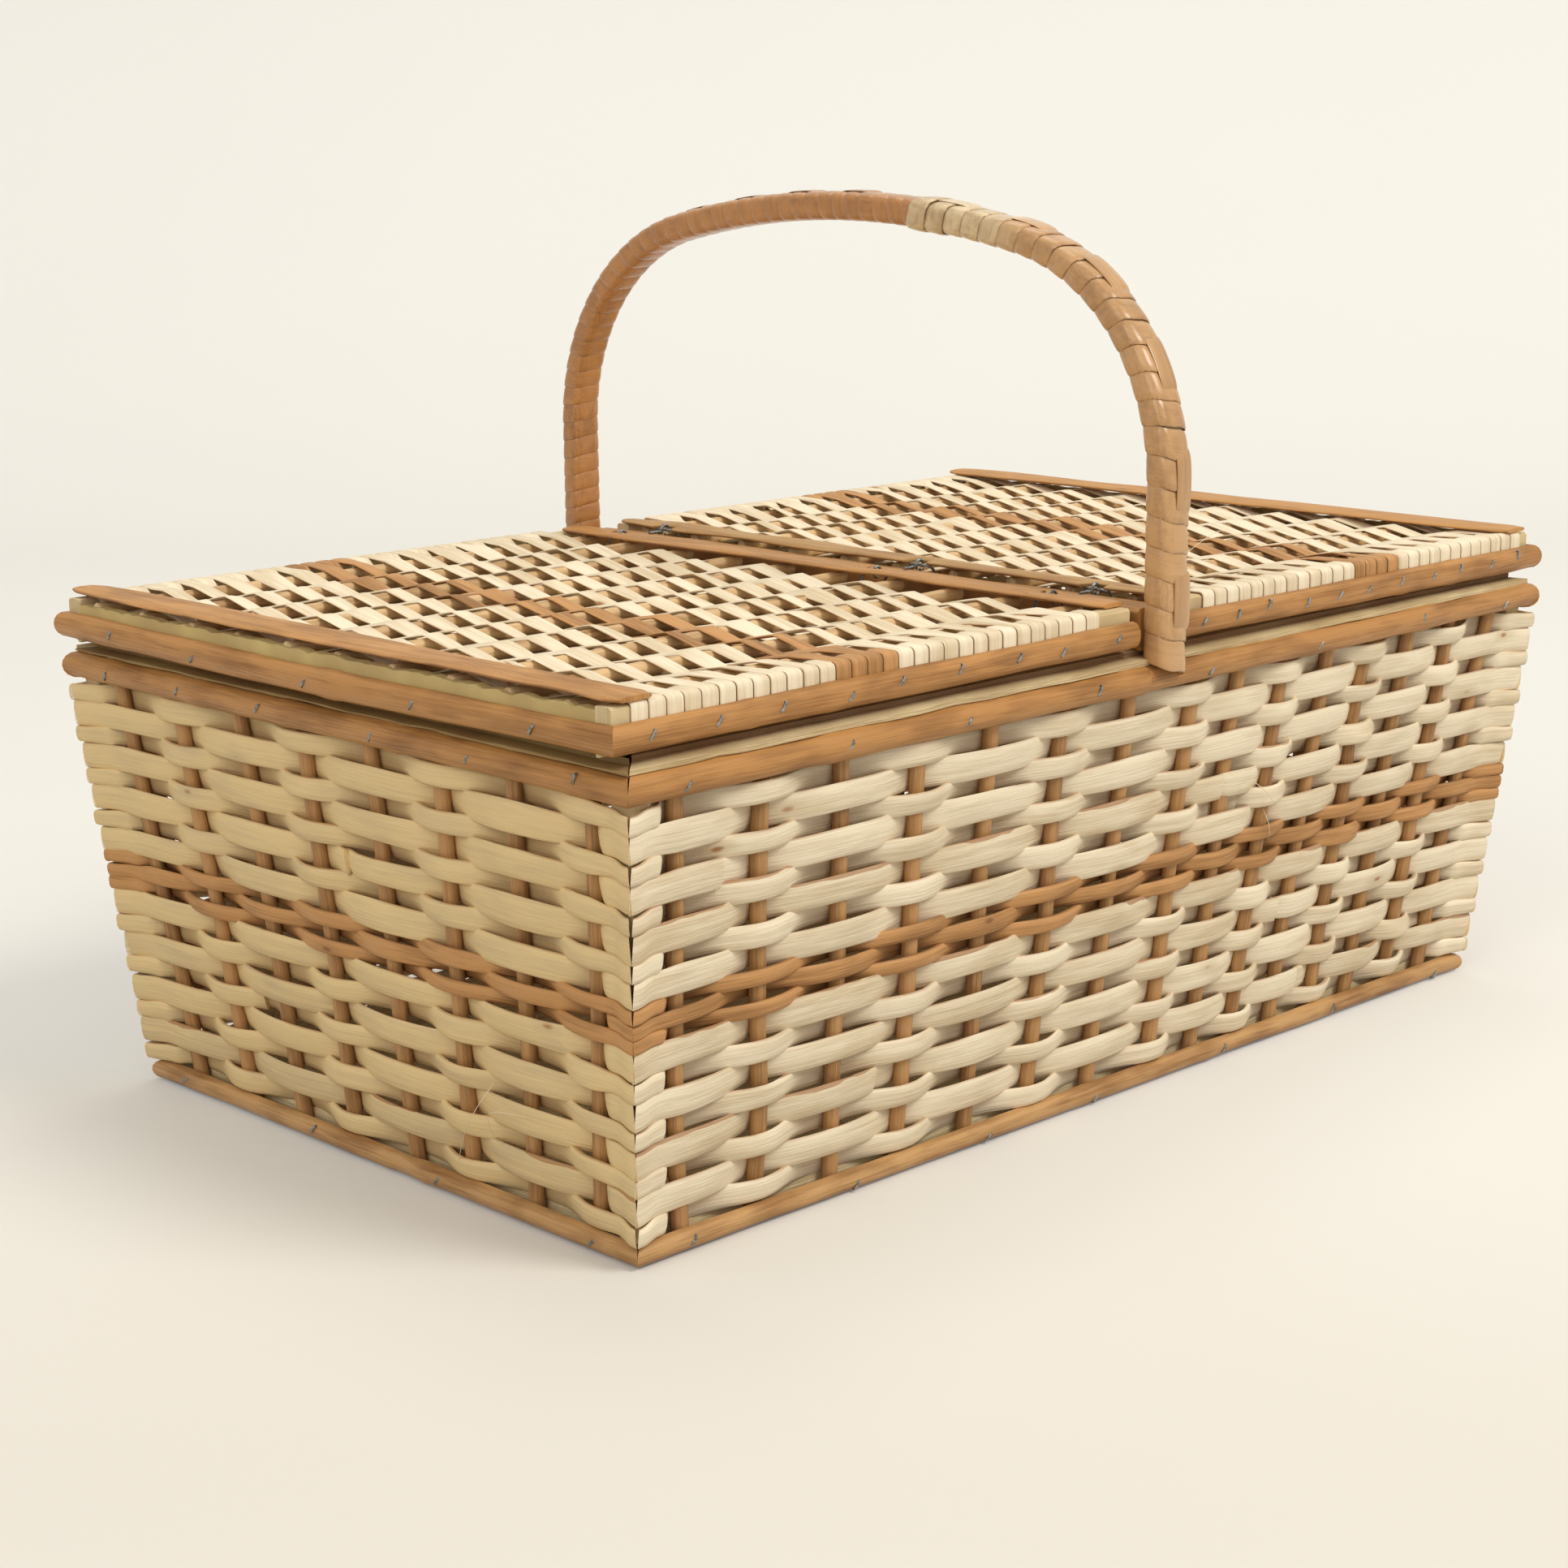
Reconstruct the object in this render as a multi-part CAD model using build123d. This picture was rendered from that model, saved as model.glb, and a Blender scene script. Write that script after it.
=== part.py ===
from build123d import *
import math
import os

# A split willow picnic basket with two lids that lift from the middle and a wrapped arch handle.
# Millimetres. X runs along the basket, the front looks to -Y, Z is up.
# The origin is under the middle of the basket, on the surface that it stands on.

# Outside of the basket, over the bands
rim_length = 420.0
rim_width = 265.6
foot_length = 392.4
foot_width = 233.8

# Heights on the body
foot_band_bottom = 0.3
foot_band_height = 6.4
rim_band_bottom = 131.0
rim_band_height = 8.4
rim_top = 142.7

# Half round bands that are stapled round the foot, the rim and the lids
rim_band_depth = 4.2
foot_band_depth = 3.6
lid_band_height = 8.0
lid_band_depth = 3.4
band_chords = 6
seat_gap = 0.1

# Uprights: round willow stakes, and a square post in each corner
stake_diameter = 4.6
stake_sides = 6
stake_bottom = 1.2
stake_top = 139.0
post_size = 7.6
end_stake_inset = 14.5
wide_side_stakes = 7
narrow_side_stakes = 7
stake_pitch_change = 26.0
end_wall_stakes = 8

# Woven splits of the walls
split_thickness = 1.0
split_clearance = 0.3
row_gap = 0.6
lower_rows = 8
brown_rows = 3
upper_rows = 8
brown_bottom = 63.4
brown_row_pitch = 4.5
weave_margin = 0.4

# Inner battens of the rim and the base
rim_batten_height = 10.0
rim_batten_depth = 5.0
base_height = 6.0
base_batten_depth = 8.0
cross_batten_width = 14.0
cross_battens = 3
cross_batten_pitch = 120.0
slat_thickness = 3.0
slats = 8
slat_gap = 2.0
slat_clearance = 0.4

# Middle bar that carries the hinges
middle = 4.5
bar_width = 13.0
bar_height = 12.8
bar_end_inset = 6.8
bar_edge_round = 1.6

# Lids
lid_end_overhang = 3.2
lid_side_inset = 1.7
lid_clearance = 0.3
lid_batten_width = 6.0
end_batten_width = 12.0
end_batten_height = 8.2
side_batten_height = 11.4
side_batten_bevel = 2.6
lid_band_rise = 2.4
rods = 10
rod_diameter = 5.2
rod_sides = 6
front_rod_room = 11.9
back_rod_room = 7.9
rod_end_inset = 1.4
lid_split_thickness = 0.9
lid_split_clearance = 0.2
lid_split_width = 5.7
lid_split_gap = 0.4
lid_brown_splits = 4
left_brown_from_end = 86.0
right_brown_from_end = 86.0
strip_thickness = 1.4
end_strip_width = 12.0
end_strip_inset = 3.5
hinge_strip_overhang = 2.3
strip_end_inset = 5.5

# Wire hinges
axis_to_middle = 10.0
axis_rise = 13.7
batten_from_axis = 0.6
wire_diameter = 1.4
wire_clearance = 0.3
wire_sides = 6
eye_sides = 8
hinge_rods = (0, 3, 8)
pin_length = 10.0
eye_tail = 3.0
eye_width = 1.8
hinge_notch = 12.0
pin_leg = 4.0

# Handle: a bent wooden core, wound with flat cane that is folded over its four edges
handle_top = 275.6
leg_inset = 0.8
handle_turn = 0.6
core_width = 8.4
core_thickness = 5.8
front_cane_thickness = 0.9
back_cane_thickness = 0.6
cane_play = 0.3
cane_gap = 0.6
cane_turns = 24
shoulder_radius = 72.0
crown_radius = 345.0

os.makedirs("parts", exist_ok=True)


def save(name, pieces):
    # Writes one sub-part, a single solid or a group of like solids.
    solids = [solid for piece in pieces for solid in piece.solids()]
    export_step(Compound(children=solids) if len(solids) > 1 else solids[0], f"parts/{name}.step")


def box(x, y, z):
    # A block given by its lowest and highest value along each axis.
    size = [high - low for low, high in (x, y, z)]
    centre = [(high + low) / 2 for low, high in (x, y, z)]
    return Pos(*centre) * Box(*size)


def prism(points, along):
    # Carries the closed outline through these points along a vector.
    return Solid.extrude(Face(Wire.make_polygon([Vector(*p) for p in points])), Vector(*along))


def rod(start, end, radius, sides, corner):
    # A straight rod between two points, with this many flat sides and one corner line facing this way.
    along = Vector(*end) - Vector(*start)
    outline = Plane(origin=start, x_dir=corner, z_dir=along) * RegularPolygon(radius, sides)
    return extrude(outline, along.length)


def turned(piece, quarter):
    # The wall pieces are made facing -Y, and are turned about Z to their side.
    return Rot(0, 0, 90 * quarter) * piece


# Lines of the walls: the plane through the stakes' axes, which leans outwards

stake_radius = stake_diameter / 2
foot_level = foot_band_bottom + foot_band_height / 2
rim_level = rim_band_bottom + rim_band_height / 2
band_to_stake = stake_radius + seat_gap


def wall_line(foot_size, rim_size):
    # Distance from the middle to the stakes' plane at height 0, and its lean for each mm of height.
    foot = foot_size / 2 - foot_band_depth - band_to_stake
    rim = rim_size / 2 - rim_band_depth - band_to_stake
    lean = (rim - foot) / (rim_level - foot_level)
    return foot - lean * foot_level, lean


long_line = wall_line(foot_width, rim_width)
short_line = wall_line(foot_length, rim_length)


def reach(line, z):
    return line[0] + line[1] * z


# Each wall: its quarter turn, its own plane and the plane of the walls beside it
walls = {
    "front": (0, long_line, short_line),
    "right": (1, short_line, long_line),
    "back": (2, long_line, short_line),
    "left": (3, short_line, long_line),
}


def spread(side, z):
    # Places of the stakes along a wall: the long walls have a wider pitch on one side.
    edge = reach(short_line if side in ("front", "back") else long_line, z) - end_stake_inset
    if side in ("left", "right"):
        return [edge * (2 * i / (end_wall_stakes - 1) - 1) for i in range(end_wall_stakes)]
    change = stake_pitch_change * edge / (reach(short_line, rim_level) - end_stake_inset)
    wide = [-edge + (edge + change) * i / wide_side_stakes for i in range(wide_side_stakes)]
    narrow = [change + (edge - change) * i / narrow_side_stakes for i in range(narrow_side_stakes + 1)]
    return wide + narrow


def mitred(piece, near, far):
    # Trims both ends of a wall piece at the planes through the leaning corner lines.
    for end in (-1, 1):
        outward = Vector(end, -1, 0)
        corner = Vector(end * far[1], -near[1], 1)
        normal = outward.cross(corner) * end
        if normal.X * end < 0:
            normal = normal * -1
        origin = (end * far[0], -near[0], 0)
        piece = split(piece, bisect_by=Plane(origin=origin, z_dir=normal), keep=Keep.BOTTOM)
    return piece


# Walls


def stakes(side):
    quarter, near, far = walls[side]
    pieces = []
    for low, high in zip(spread(side, stake_bottom), spread(side, stake_top)):
        foot = (low, -reach(near, stake_bottom), stake_bottom)
        top = (high, -reach(near, stake_top), stake_top)
        pieces.append(turned(rod(foot, top, stake_radius, stake_sides, (0, 1, 0)), quarter))
    return pieces


def row_levels():
    # Bottom, height and kind of every woven row, from the foot up.
    first = foot_band_bottom + foot_band_height + weave_margin
    last = rim_band_bottom - weave_margin
    brown_top = brown_bottom + brown_rows * brown_row_pitch
    runs = (
        (first, brown_bottom, lower_rows, "peeled"),
        (brown_bottom, brown_top, brown_rows, "brown"),
        (brown_top, last, upper_rows, "peeled"),
    )
    rows = []
    for low, high, count, kind in runs:
        pitch = (high - low) / count
        rows += [(low + pitch * i, pitch - row_gap, kind) for i in range(count)]
    return rows


def woven_row(side, number, low, height):
    # One split: it bows out round one stake, in behind the next, and is folded round the posts.
    quarter, near, far = walls[side]
    middle_height = low + height / 2
    bow = stake_radius + split_clearance + split_thickness / 2
    plane = reach(near, low)
    half = reach(far, low + height) + post_size
    post_inner = reach(far, middle_height) + stake_radius - post_size
    places = spread(side, middle_height)
    slope = math.atan(2 * bow / (post_inner - places[-1]))
    end_bow = (stake_radius + split_clearance) / math.cos(slope) + split_thickness / 2
    last = len(places) - 1
    line = []
    for i, x in enumerate(places):
        behind = end_bow if i in (0, last) else bow
        line.append((x, bow if (i + number) % 2 else -behind))
    # From a stake that it passes behind, the split first comes out in front of the post.
    if line[0][1] < 0:
        line.insert(0, (-post_inner, bow))
    if line[-1][1] < 0:
        line.append((post_inner, bow))
    line = [(-half, bow)] + line + [(half, bow)]
    half_split = split_thickness / 2
    outer = [(x, -plane - offset - half_split, low) for x, offset in line]
    inner = [(x, -plane - offset + half_split, low) for x, offset in reversed(line)]
    ribbon = prism(outer + inner, (0, -near[1] * height, height))
    return turned(mitred(ribbon, near, far), quarter)


def rounded_outline(foot, across_band, outward):
    # The outline of a split rod in short chords, from its flat side's lower edge to its upper one.
    turns = [math.pi * i / band_chords for i in range(band_chords + 1)]
    return [tuple(foot + across_band * ((1 - math.cos(t)) / 2) + outward * math.sin(t)) for t in turns]


def half_round(near, far, low, height, depth, quarter):
    # A split rod with its flat side to the wall, leaning with it and mitred at the corners.
    length = 2 * (reach(far, low + height) + post_size)
    foot = Vector(-length / 2, -reach(near, low) - band_to_stake, low)
    along_wall = Vector(0, -near[1], 1).normalized() * height
    outward = Vector(0, -1, -near[1]).normalized() * depth
    outline = rounded_outline(foot, along_wall, outward)
    return turned(mitred(prism(outline, (length, 0, 0)), near, far), quarter)


def inner_batten(side, low, high, depth):
    # A batten inside the stakes, from post to post.
    # The long ones reach the posts, and the short ones stand between the long ones.
    quarter, near, far = walls[side]
    long_end = stake_radius - post_size
    short_end = -band_to_stake - depth
    half = reach(far, low) - seat_gap + (long_end if side in ("front", "back") else short_end)
    face = [-reach(near, z) + band_to_stake for z in (low, high)]
    outline = [(-half, face[0], low), (-half, face[0] + depth, low),
               (-half, face[1] + depth, high), (-half, face[1], high)]
    return turned(prism(outline, (2 * half, 0, 0)), quarter)


def corner_post(sign_x, sign_y):
    # A square post that leans along the corner, flush with the outside of the stakes.
    x = sign_x * (reach(short_line, 0) + stake_radius - post_size / 2)
    y = sign_y * (reach(long_line, 0) + stake_radius - post_size / 2)
    half = post_size / 2
    outline = [(x - half, y - half, 0), (x + half, y - half, 0), (x + half, y + half, 0), (x - half, y + half, 0)]
    return prism(outline, (sign_x * short_line[1] * rim_top, sign_y * long_line[1] * rim_top, rim_top))


for side, (quarter, near, far) in walls.items():
    save(f"stakes_{side}", stakes(side))
    for kind in ("peeled", "brown"):
        rows = [woven_row(side, number, low, height)
                for number, (low, height, row_kind) in enumerate(row_levels()) if row_kind == kind]
        save(f"weave_{side}_{kind}", rows)
    save(f"rim_band_{side}", [half_round(near, far, rim_band_bottom, rim_band_height, rim_band_depth, quarter)])
    save(f"foot_band_{side}", [half_round(near, far, foot_band_bottom, foot_band_height, foot_band_depth, quarter)])
    save(f"rim_batten_{side}", [inner_batten(side, rim_top - rim_batten_height, rim_top, rim_batten_depth)])

save("corner_posts", [corner_post(x, y) for x in (-1, 1) for y in (-1, 1)])


# Base: a frame of battens, cross battens and thin slats on top

save("base_frame", [inner_batten(side, 0, base_height, base_batten_depth) for side in walls])

cross_half = reach(long_line, 0) - band_to_stake - base_batten_depth - seat_gap
cross_places = [cross_batten_pitch * (i - (cross_battens - 1) / 2) for i in range(cross_battens)]
save("base_cross_battens", [
    box((x - cross_batten_width / 2, x + cross_batten_width / 2), (-cross_half, cross_half), (0, base_height))
    for x in cross_places])

weave_depth = stake_radius + split_clearance + split_thickness
slat_half_length = reach(short_line, base_height) + stake_radius - post_size - slat_clearance
slat_half_width = reach(long_line, base_height) - weave_depth - slat_clearance
slat_pitch = (2 * slat_half_width + slat_gap) / slats
slat_top = base_height + slat_thickness
save("base_slats", [
    box((-slat_half_length, slat_half_length),
        (-slat_half_width + slat_pitch * i, -slat_half_width + slat_pitch * (i + 1) - slat_gap),
        (base_height, slat_top))
    for i in range(slats)])


# Places across the lids, whose rods are spread between their side battens

lid_length = rim_length + 2 * lid_end_overhang
lid_width = rim_width - 2 * lid_side_inset
batten_face = lid_width / 2 - lid_band_depth - lid_split_thickness - 2 * seat_gap
batten_inner = batten_face - lid_batten_width
rod_pitch = (2 * batten_inner - front_rod_room - back_rod_room) / (rods - 1)
rod_places = [front_rod_room - batten_inner + rod_pitch * i for i in range(rods)]


# Middle bar with its wire eyes, each beside the gap between two rods of the lids

hinge_places = [(rod_places[i] + rod_places[i + 1]) / 2 for i in hinge_rods]
bar_top = rim_top + bar_height
axis_height = rim_top + axis_rise
wire_radius = wire_diameter / 2
eye_middle = wire_radius + wire_clearance + wire_radius
bar_end = rim_width / 2 - bar_end_inset
bar = box((middle - bar_width / 2, middle + bar_width / 2), (-bar_end, bar_end), (rim_top, bar_top))
bar = fillet(bar.edges().filter_by(Axis.Y).group_by(Axis.Z)[-1], bar_edge_round)
save("middle_bar", [bar])


def wire(start, end, corner):
    return rod(start, end, wire_radius, wire_sides, corner)


def hinge_eye(side, y):
    # An eye of wire about the hinge axis, whose tail lies on the bar.
    x = middle + side * axis_to_middle
    flats = math.cos(math.pi / eye_sides)
    outline = RegularPolygon(eye_middle + wire_radius, eye_sides)
    outline -= RegularPolygon((wire_radius + wire_clearance) / flats, eye_sides)
    start = Plane(origin=(x, y - eye_width / 2, axis_height), x_dir=(1, 0, 0), z_dir=(0, 1, 0))
    tail_height = bar_top + wire_radius
    tail = wire((x - side * eye_middle, y, tail_height), (middle + side * eye_tail, y, tail_height), (0, 0, 1))
    return extrude(start * outline, eye_width) + tail


save("hinge_eyes", [hinge_eye(side, y) for side in (-1, 1) for y in hinge_places])


# Lids

lid_bottom = rim_top + lid_clearance
end_batten_top = lid_bottom + end_batten_height
rod_height = end_batten_top + seat_gap + rod_diameter / 2
rod_top = rod_height + rod_diameter / 2
side_batten_top = lid_bottom + side_batten_height


def across(side, near, far):
    # An interval along X on one lid, from two distances that grow away from the middle.
    low, high = sorted((side * near, side * far))
    return low, high


def lid_split(side, near, number):
    # One split of a lid: over one rod and under the next, then down over the bevel of the side battens.
    bow = rod_diameter / 2 + lid_split_clearance + lid_split_thickness / 2
    half = lid_split_thickness / 2
    turn = batten_face + seat_gap + half
    crest = side_batten_top + seat_gap + half
    line = []
    for i, y in enumerate(rod_places):
        room = batten_inner - abs(y)
        slope = math.atan((bow + crest - rod_height) / room)
        under = bow if 0 < i < rods - 1 else (bow - half) / math.cos(slope) + half
        line.append((y, rod_height + (bow if (i + number) % 2 else -under)))
    start, end = [(-turn, crest - side_batten_bevel), (-batten_inner, crest)], [(batten_inner, crest)]
    line = start + line + end + [(turn, crest - side_batten_bevel)]
    low = across(side, near, near + lid_split_width)[0]
    upper = [(low, y, z + half) for y, z in line]
    lower = [(low, y, z - half) for y, z in reversed(line)]
    return prism(upper + lower, (lid_split_width, 0, 0))


def side_batten(side, inner, outer, sign):
    # A batten along the front or back of a lid, whose top is bevelled down to the outside.
    low, high = across(side, inner, outer)
    outline = [(low, sign * batten_inner, lid_bottom), (low, sign * batten_face, lid_bottom),
               (low, sign * batten_face, side_batten_top - side_batten_bevel),
               (low, sign * batten_inner, side_batten_top)]
    return prism(outline, (high - low, 0, 0))


def lid(name, side, brown_from_end):
    outer = lid_length / 2 - lid_band_depth - seat_gap
    axis = side * middle + axis_to_middle
    inner = axis + batten_from_axis
    end_inner = outer - end_batten_width
    strip_outer = outer - end_strip_inset
    strip_inner = strip_outer - end_strip_width
    hinge_inner = inner + end_batten_width

    for place, sign in (("front", -1), ("back", 1)):
        save(f"{name}_{place}_batten", [side_batten(side, inner, outer, sign)])
    for place, near, far in (("hinge", inner, hinge_inner), ("end", end_inner, outer)):
        save(f"{name}_{place}_batten", [box(
            across(side, near, far), (-batten_inner, batten_inner), (lid_bottom, end_batten_top))])

    rod_from = inner + rod_end_inset
    rod_to = outer - rod_end_inset
    save(f"{name}_rods", [
        rod((side * rod_from, y, rod_height), (side * rod_to, y, rod_height), rod_diameter / 2, rod_sides, (0, 0, 1))
        for y in rod_places])

    pitch = lid_split_width + lid_split_gap
    room = strip_inner - hinge_inner - 2 * lid_split_gap
    count = int(room / pitch)
    start = hinge_inner + lid_split_gap + (room - count * pitch) / 2
    first_brown = count - round(brown_from_end / pitch)
    brown = range(first_brown, first_brown + lid_brown_splits)
    for kind in ("peeled", "brown"):
        save(f"{name}_weave_{kind}", [
            lid_split(side, start + pitch * i, i) for i in range(count) if (i in brown) == (kind == "brown")])

    strip_half = batten_inner - strip_end_inset
    strip_level = (rod_top + seat_gap, rod_top + seat_gap + strip_thickness)
    save(f"{name}_end_strip", [box(across(side, strip_inner, strip_outer), (-strip_half, strip_half), strip_level)])
    hinge_edge = axis - hinge_strip_overhang
    strip = box(across(side, hinge_edge, hinge_edge + end_strip_width), (-strip_half, strip_half), strip_level)
    notch_depth = hinge_strip_overhang + pin_leg + wire_radius + wire_clearance
    for y in hinge_places:
        strip -= box(across(side, hinge_edge, hinge_edge + notch_depth),
                     (y - hinge_notch / 2, y + hinge_notch / 2), strip_level)
    save(f"{name}_hinge_strip", [strip])

    save(f"{name}_hinge_pins", [hinge_pin(side, axis, y) for y in hinge_places])

    for place, sign in (("front", -1), ("back", 1)):
        save(f"{name}_{place}_band", [lid_band_side(side, inner, sign)])
    save(f"{name}_end_band", [lid_band_end(side)])


def hinge_pin(side, axis, y):
    # A staple of wire: its back lies in the eye, on the hinge axis, and its legs slant down to the batten.
    x = side * axis
    half = pin_length / 2
    leg_foot = end_batten_top + wire_radius
    staple = wire((x, y - half - wire_radius, axis_height), (x, y + half + wire_radius, axis_height), (0, 0, 1))
    for end in (-half, half):
        staple += wire((x, y + end, axis_height), (x + side * pin_leg, y + end, leg_foot), (0, 1, 0))
    return staple


def band_outline(foot, outward):
    # The half round outline of a lid band, standing on its flat side.
    return rounded_outline(Vector(*foot), Vector(0, 0, lid_band_height), Vector(*outward) * lid_band_depth)


def lid_mitre(side, sign):
    # The plane through an outer corner of a lid, at half a right angle.
    return Plane(origin=(side * lid_length / 2, sign * lid_width / 2, 0), z_dir=(side, -sign, 0))


def lid_band_side(side, inner, sign):
    face = sign * (lid_width / 2 - lid_band_depth)
    outline = band_outline((side * inner, face, lid_bottom + lid_band_rise), (0, sign, 0))
    band = prism(outline, (side * (lid_length / 2 - inner), 0, 0))
    return split(band, bisect_by=lid_mitre(side, sign), keep=Keep.BOTTOM)


def lid_band_end(side):
    face = side * (lid_length / 2 - lid_band_depth)
    outline = band_outline((face, -lid_width / 2, lid_bottom + lid_band_rise), (side, 0, 0))
    band = prism(outline, (0, lid_width, 0))
    for sign in (-1, 1):
        band = split(band, bisect_by=lid_mitre(side, sign), keep=Keep.TOP)
    return band


lid("left_lid", -1, left_brown_from_end)
lid("right_lid", 1, right_brown_from_end)


# Handle


leg_middle = rim_width / 2 - leg_inset
arch_foot = rim_band_bottom + rim_band_height + seat_gap
arch_top = handle_top - core_thickness / 2 - front_cane_thickness - cane_play
shoulder_middle = leg_middle - shoulder_radius
crown_rise = math.sqrt((crown_radius - shoulder_radius) ** 2 - shoulder_middle ** 2)
shoulder_height = arch_top - crown_radius + crown_rise
shoulder_turn = math.atan2(crown_rise, shoulder_middle)
leg_length = shoulder_height - arch_foot
shoulder_length = shoulder_radius * shoulder_turn
half_arch = leg_length + shoulder_length + crown_radius * (math.pi / 2 - shoulder_turn)


def arch_point(end, along, x, out):
    # A point by its distance up the arch from one foot, its offset along X and its height over the middle line.
    if along < leg_length:
        centre, radius, turn = (leg_middle, arch_foot + along), 0, 0
    elif along < leg_length + shoulder_length:
        centre, radius = (shoulder_middle, shoulder_height), shoulder_radius
        turn = (along - leg_length) / shoulder_radius
    else:
        centre, radius = (0, arch_top - crown_radius), crown_radius
        turn = shoulder_turn + (along - leg_length - shoulder_length) / crown_radius
    reach_out = radius + out
    return Vector(x, end * (centre[0] + reach_out * math.cos(turn)), centre[1] + reach_out * math.sin(turn))


def arch_core():
    # The core along two legs, two shoulders and a flatter crown, all tangent.
    marks = [0, leg_length, leg_length + shoulder_length / 2, leg_length + shoulder_length, half_arch]
    front = [arch_point(-1, along, 0, 0) for along in marks]
    back = [arch_point(1, along, 0, 0) for along in marks]
    path = Wire([
        Edge.make_line(front[0], front[1]),
        Edge.make_three_point_arc(front[1], front[2], front[3]),
        Edge.make_three_point_arc(front[3], front[4], back[3]),
        Edge.make_three_point_arc(back[3], back[2], back[1]),
        Edge.make_line(back[1], back[0]),
    ])
    start = Plane(origin=front[0], x_dir=(1, 0, 0), z_dir=(0, 0, 1))
    return sweep(start * Rectangle(core_width, core_thickness), path=path)


def cane_section(end, number, pitch, width, thickness):
    # The cane where it is folded over an edge of the core: four sections make a turn.
    corner_x, corner_out = ((1, 1), (-1, 1), (-1, -1), (1, -1))[number % 4]
    low = pitch * number / 4
    points = []
    for along, stand in ((low, thickness), (low + width, thickness), (low + width, 0), (low, 0)):
        x = corner_x * (core_width / 2 + cane_play + stand)
        out = corner_out * (core_thickness / 2 + cane_play + stand)
        points.append(arch_point(end, along, x, out))
    return points


def least_gap(sections, samples=12):
    # The least distance between the upper edge of one turn and the lower edge of another, on points.
    def edge(corner):
        pairs = zip(sections, sections[1:])
        return [a[corner] + (b[corner] - a[corner]) * (i / samples) for a, b in pairs for i in range(samples)]

    half_turn = 2 * samples
    gaps = []
    for lower, upper in ((0, 1), (3, 2)):
        above, below = edge(lower), edge(upper)
        gaps += [(p - q).length for i, p in enumerate(above) for q in below[max(0, i - 3 * half_turn):i - half_turn]]
    return min(gaps)


def skinned(sections):
    # The solid through four-cornered sections. The stretches between folds are a little twisted, so each
    # is closed with two flat triangles.
    corners = [sections[0], sections[-1]]
    outlines = [(ends[0], ends[i], ends[i + 1]) for ends in corners for i in (1, 2)]
    for a, b in zip(sections, sections[1:]):
        for i in range(4):
            outlines += [(a[i - 1], a[i], b[i]), (a[i - 1], b[i], b[i - 1])]
    return Solid(Shell([Face(Wire.make_polygon(outline)) for outline in outlines]))


def cane_wrap(end, thickness):
    # One unbroken flat cane, wound up from a foot of the handle to the middle of its crown.
    pitch = (half_arch + cane_gap / 2) / (cane_turns + 1)
    width = pitch - cane_gap
    sections = [cane_section(end, number, pitch, width, thickness) for number in range(4 * cane_turns + 1)]
    print(f"least gap between the turns of a cane: {least_gap(sections):.2f} mm")
    return skinned(sections)


def seated(piece):
    return Pos(middle, 0, 0) * Rot(0, 0, handle_turn) * piece


save("handle_core", [seated(arch_core())])
save("handle_wrap_front", [seated(cane_wrap(-1, front_cane_thickness))])
save("handle_wrap_back", [seated(cane_wrap(1, back_cane_thickness))])
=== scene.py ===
import math

import bpy
import numpy as np
from bpy.props import FloatProperty, FloatVectorProperty, IntProperty, PointerProperty
from mathutils import Matrix, Vector


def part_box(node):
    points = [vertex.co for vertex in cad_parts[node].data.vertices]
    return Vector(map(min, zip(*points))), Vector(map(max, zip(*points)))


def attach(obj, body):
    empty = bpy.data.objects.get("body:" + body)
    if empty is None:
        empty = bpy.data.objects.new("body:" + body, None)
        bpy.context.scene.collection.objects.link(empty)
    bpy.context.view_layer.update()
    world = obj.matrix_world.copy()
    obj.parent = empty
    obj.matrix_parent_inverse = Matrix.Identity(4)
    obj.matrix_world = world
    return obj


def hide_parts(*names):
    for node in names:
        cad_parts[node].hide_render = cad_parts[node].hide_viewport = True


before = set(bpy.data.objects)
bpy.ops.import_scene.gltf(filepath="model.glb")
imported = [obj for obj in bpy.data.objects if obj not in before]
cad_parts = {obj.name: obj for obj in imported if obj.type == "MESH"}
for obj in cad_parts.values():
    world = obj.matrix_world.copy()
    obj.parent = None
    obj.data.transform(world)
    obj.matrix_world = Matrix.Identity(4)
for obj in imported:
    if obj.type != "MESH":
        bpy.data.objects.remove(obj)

bl_info = {
    "name": "Willow picnic basket",
    "version": (1, 0, 0),
    "blender": (4, 5, 0),
    "location": "View3D > Sidebar > Basket",
    "description": "Weaves the walls, the lids and the cane handle of a willow basket round its CAD frame",
    "category": "Add Mesh",
}

# Lengths are in millimetres, and become metres where a mesh is made.
MM = 0.001
X, Y, Z = np.eye(3)
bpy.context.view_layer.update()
SIDES = ("front", "right", "back", "left")

# The walls, as the frame has them
STAKE_RADIUS = 2.3
POST_SIZE = 7.6
END_STAKE_INSET = 14.5
STAKE_PITCH_CHANGE = 26.0
WIDE_SIDE_STAKES = 7
NARROW_SIDE_STAKES = 7
END_WALL_STAKES = 8
LOWER_ROWS = 8
BROWN_ROWS = 3
UPPER_ROWS = 8
ROW_GAP = 0.6
RIM_LEVEL = 135.2
RIM_BAND_DEPTH = 4.1
FOOT_BAND_DEPTH = 3.5
RIM_BATTEN_DEPTH = 5.0
BASE_FRAME_DEPTH = 8.0
ROOM = 0.1

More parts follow.
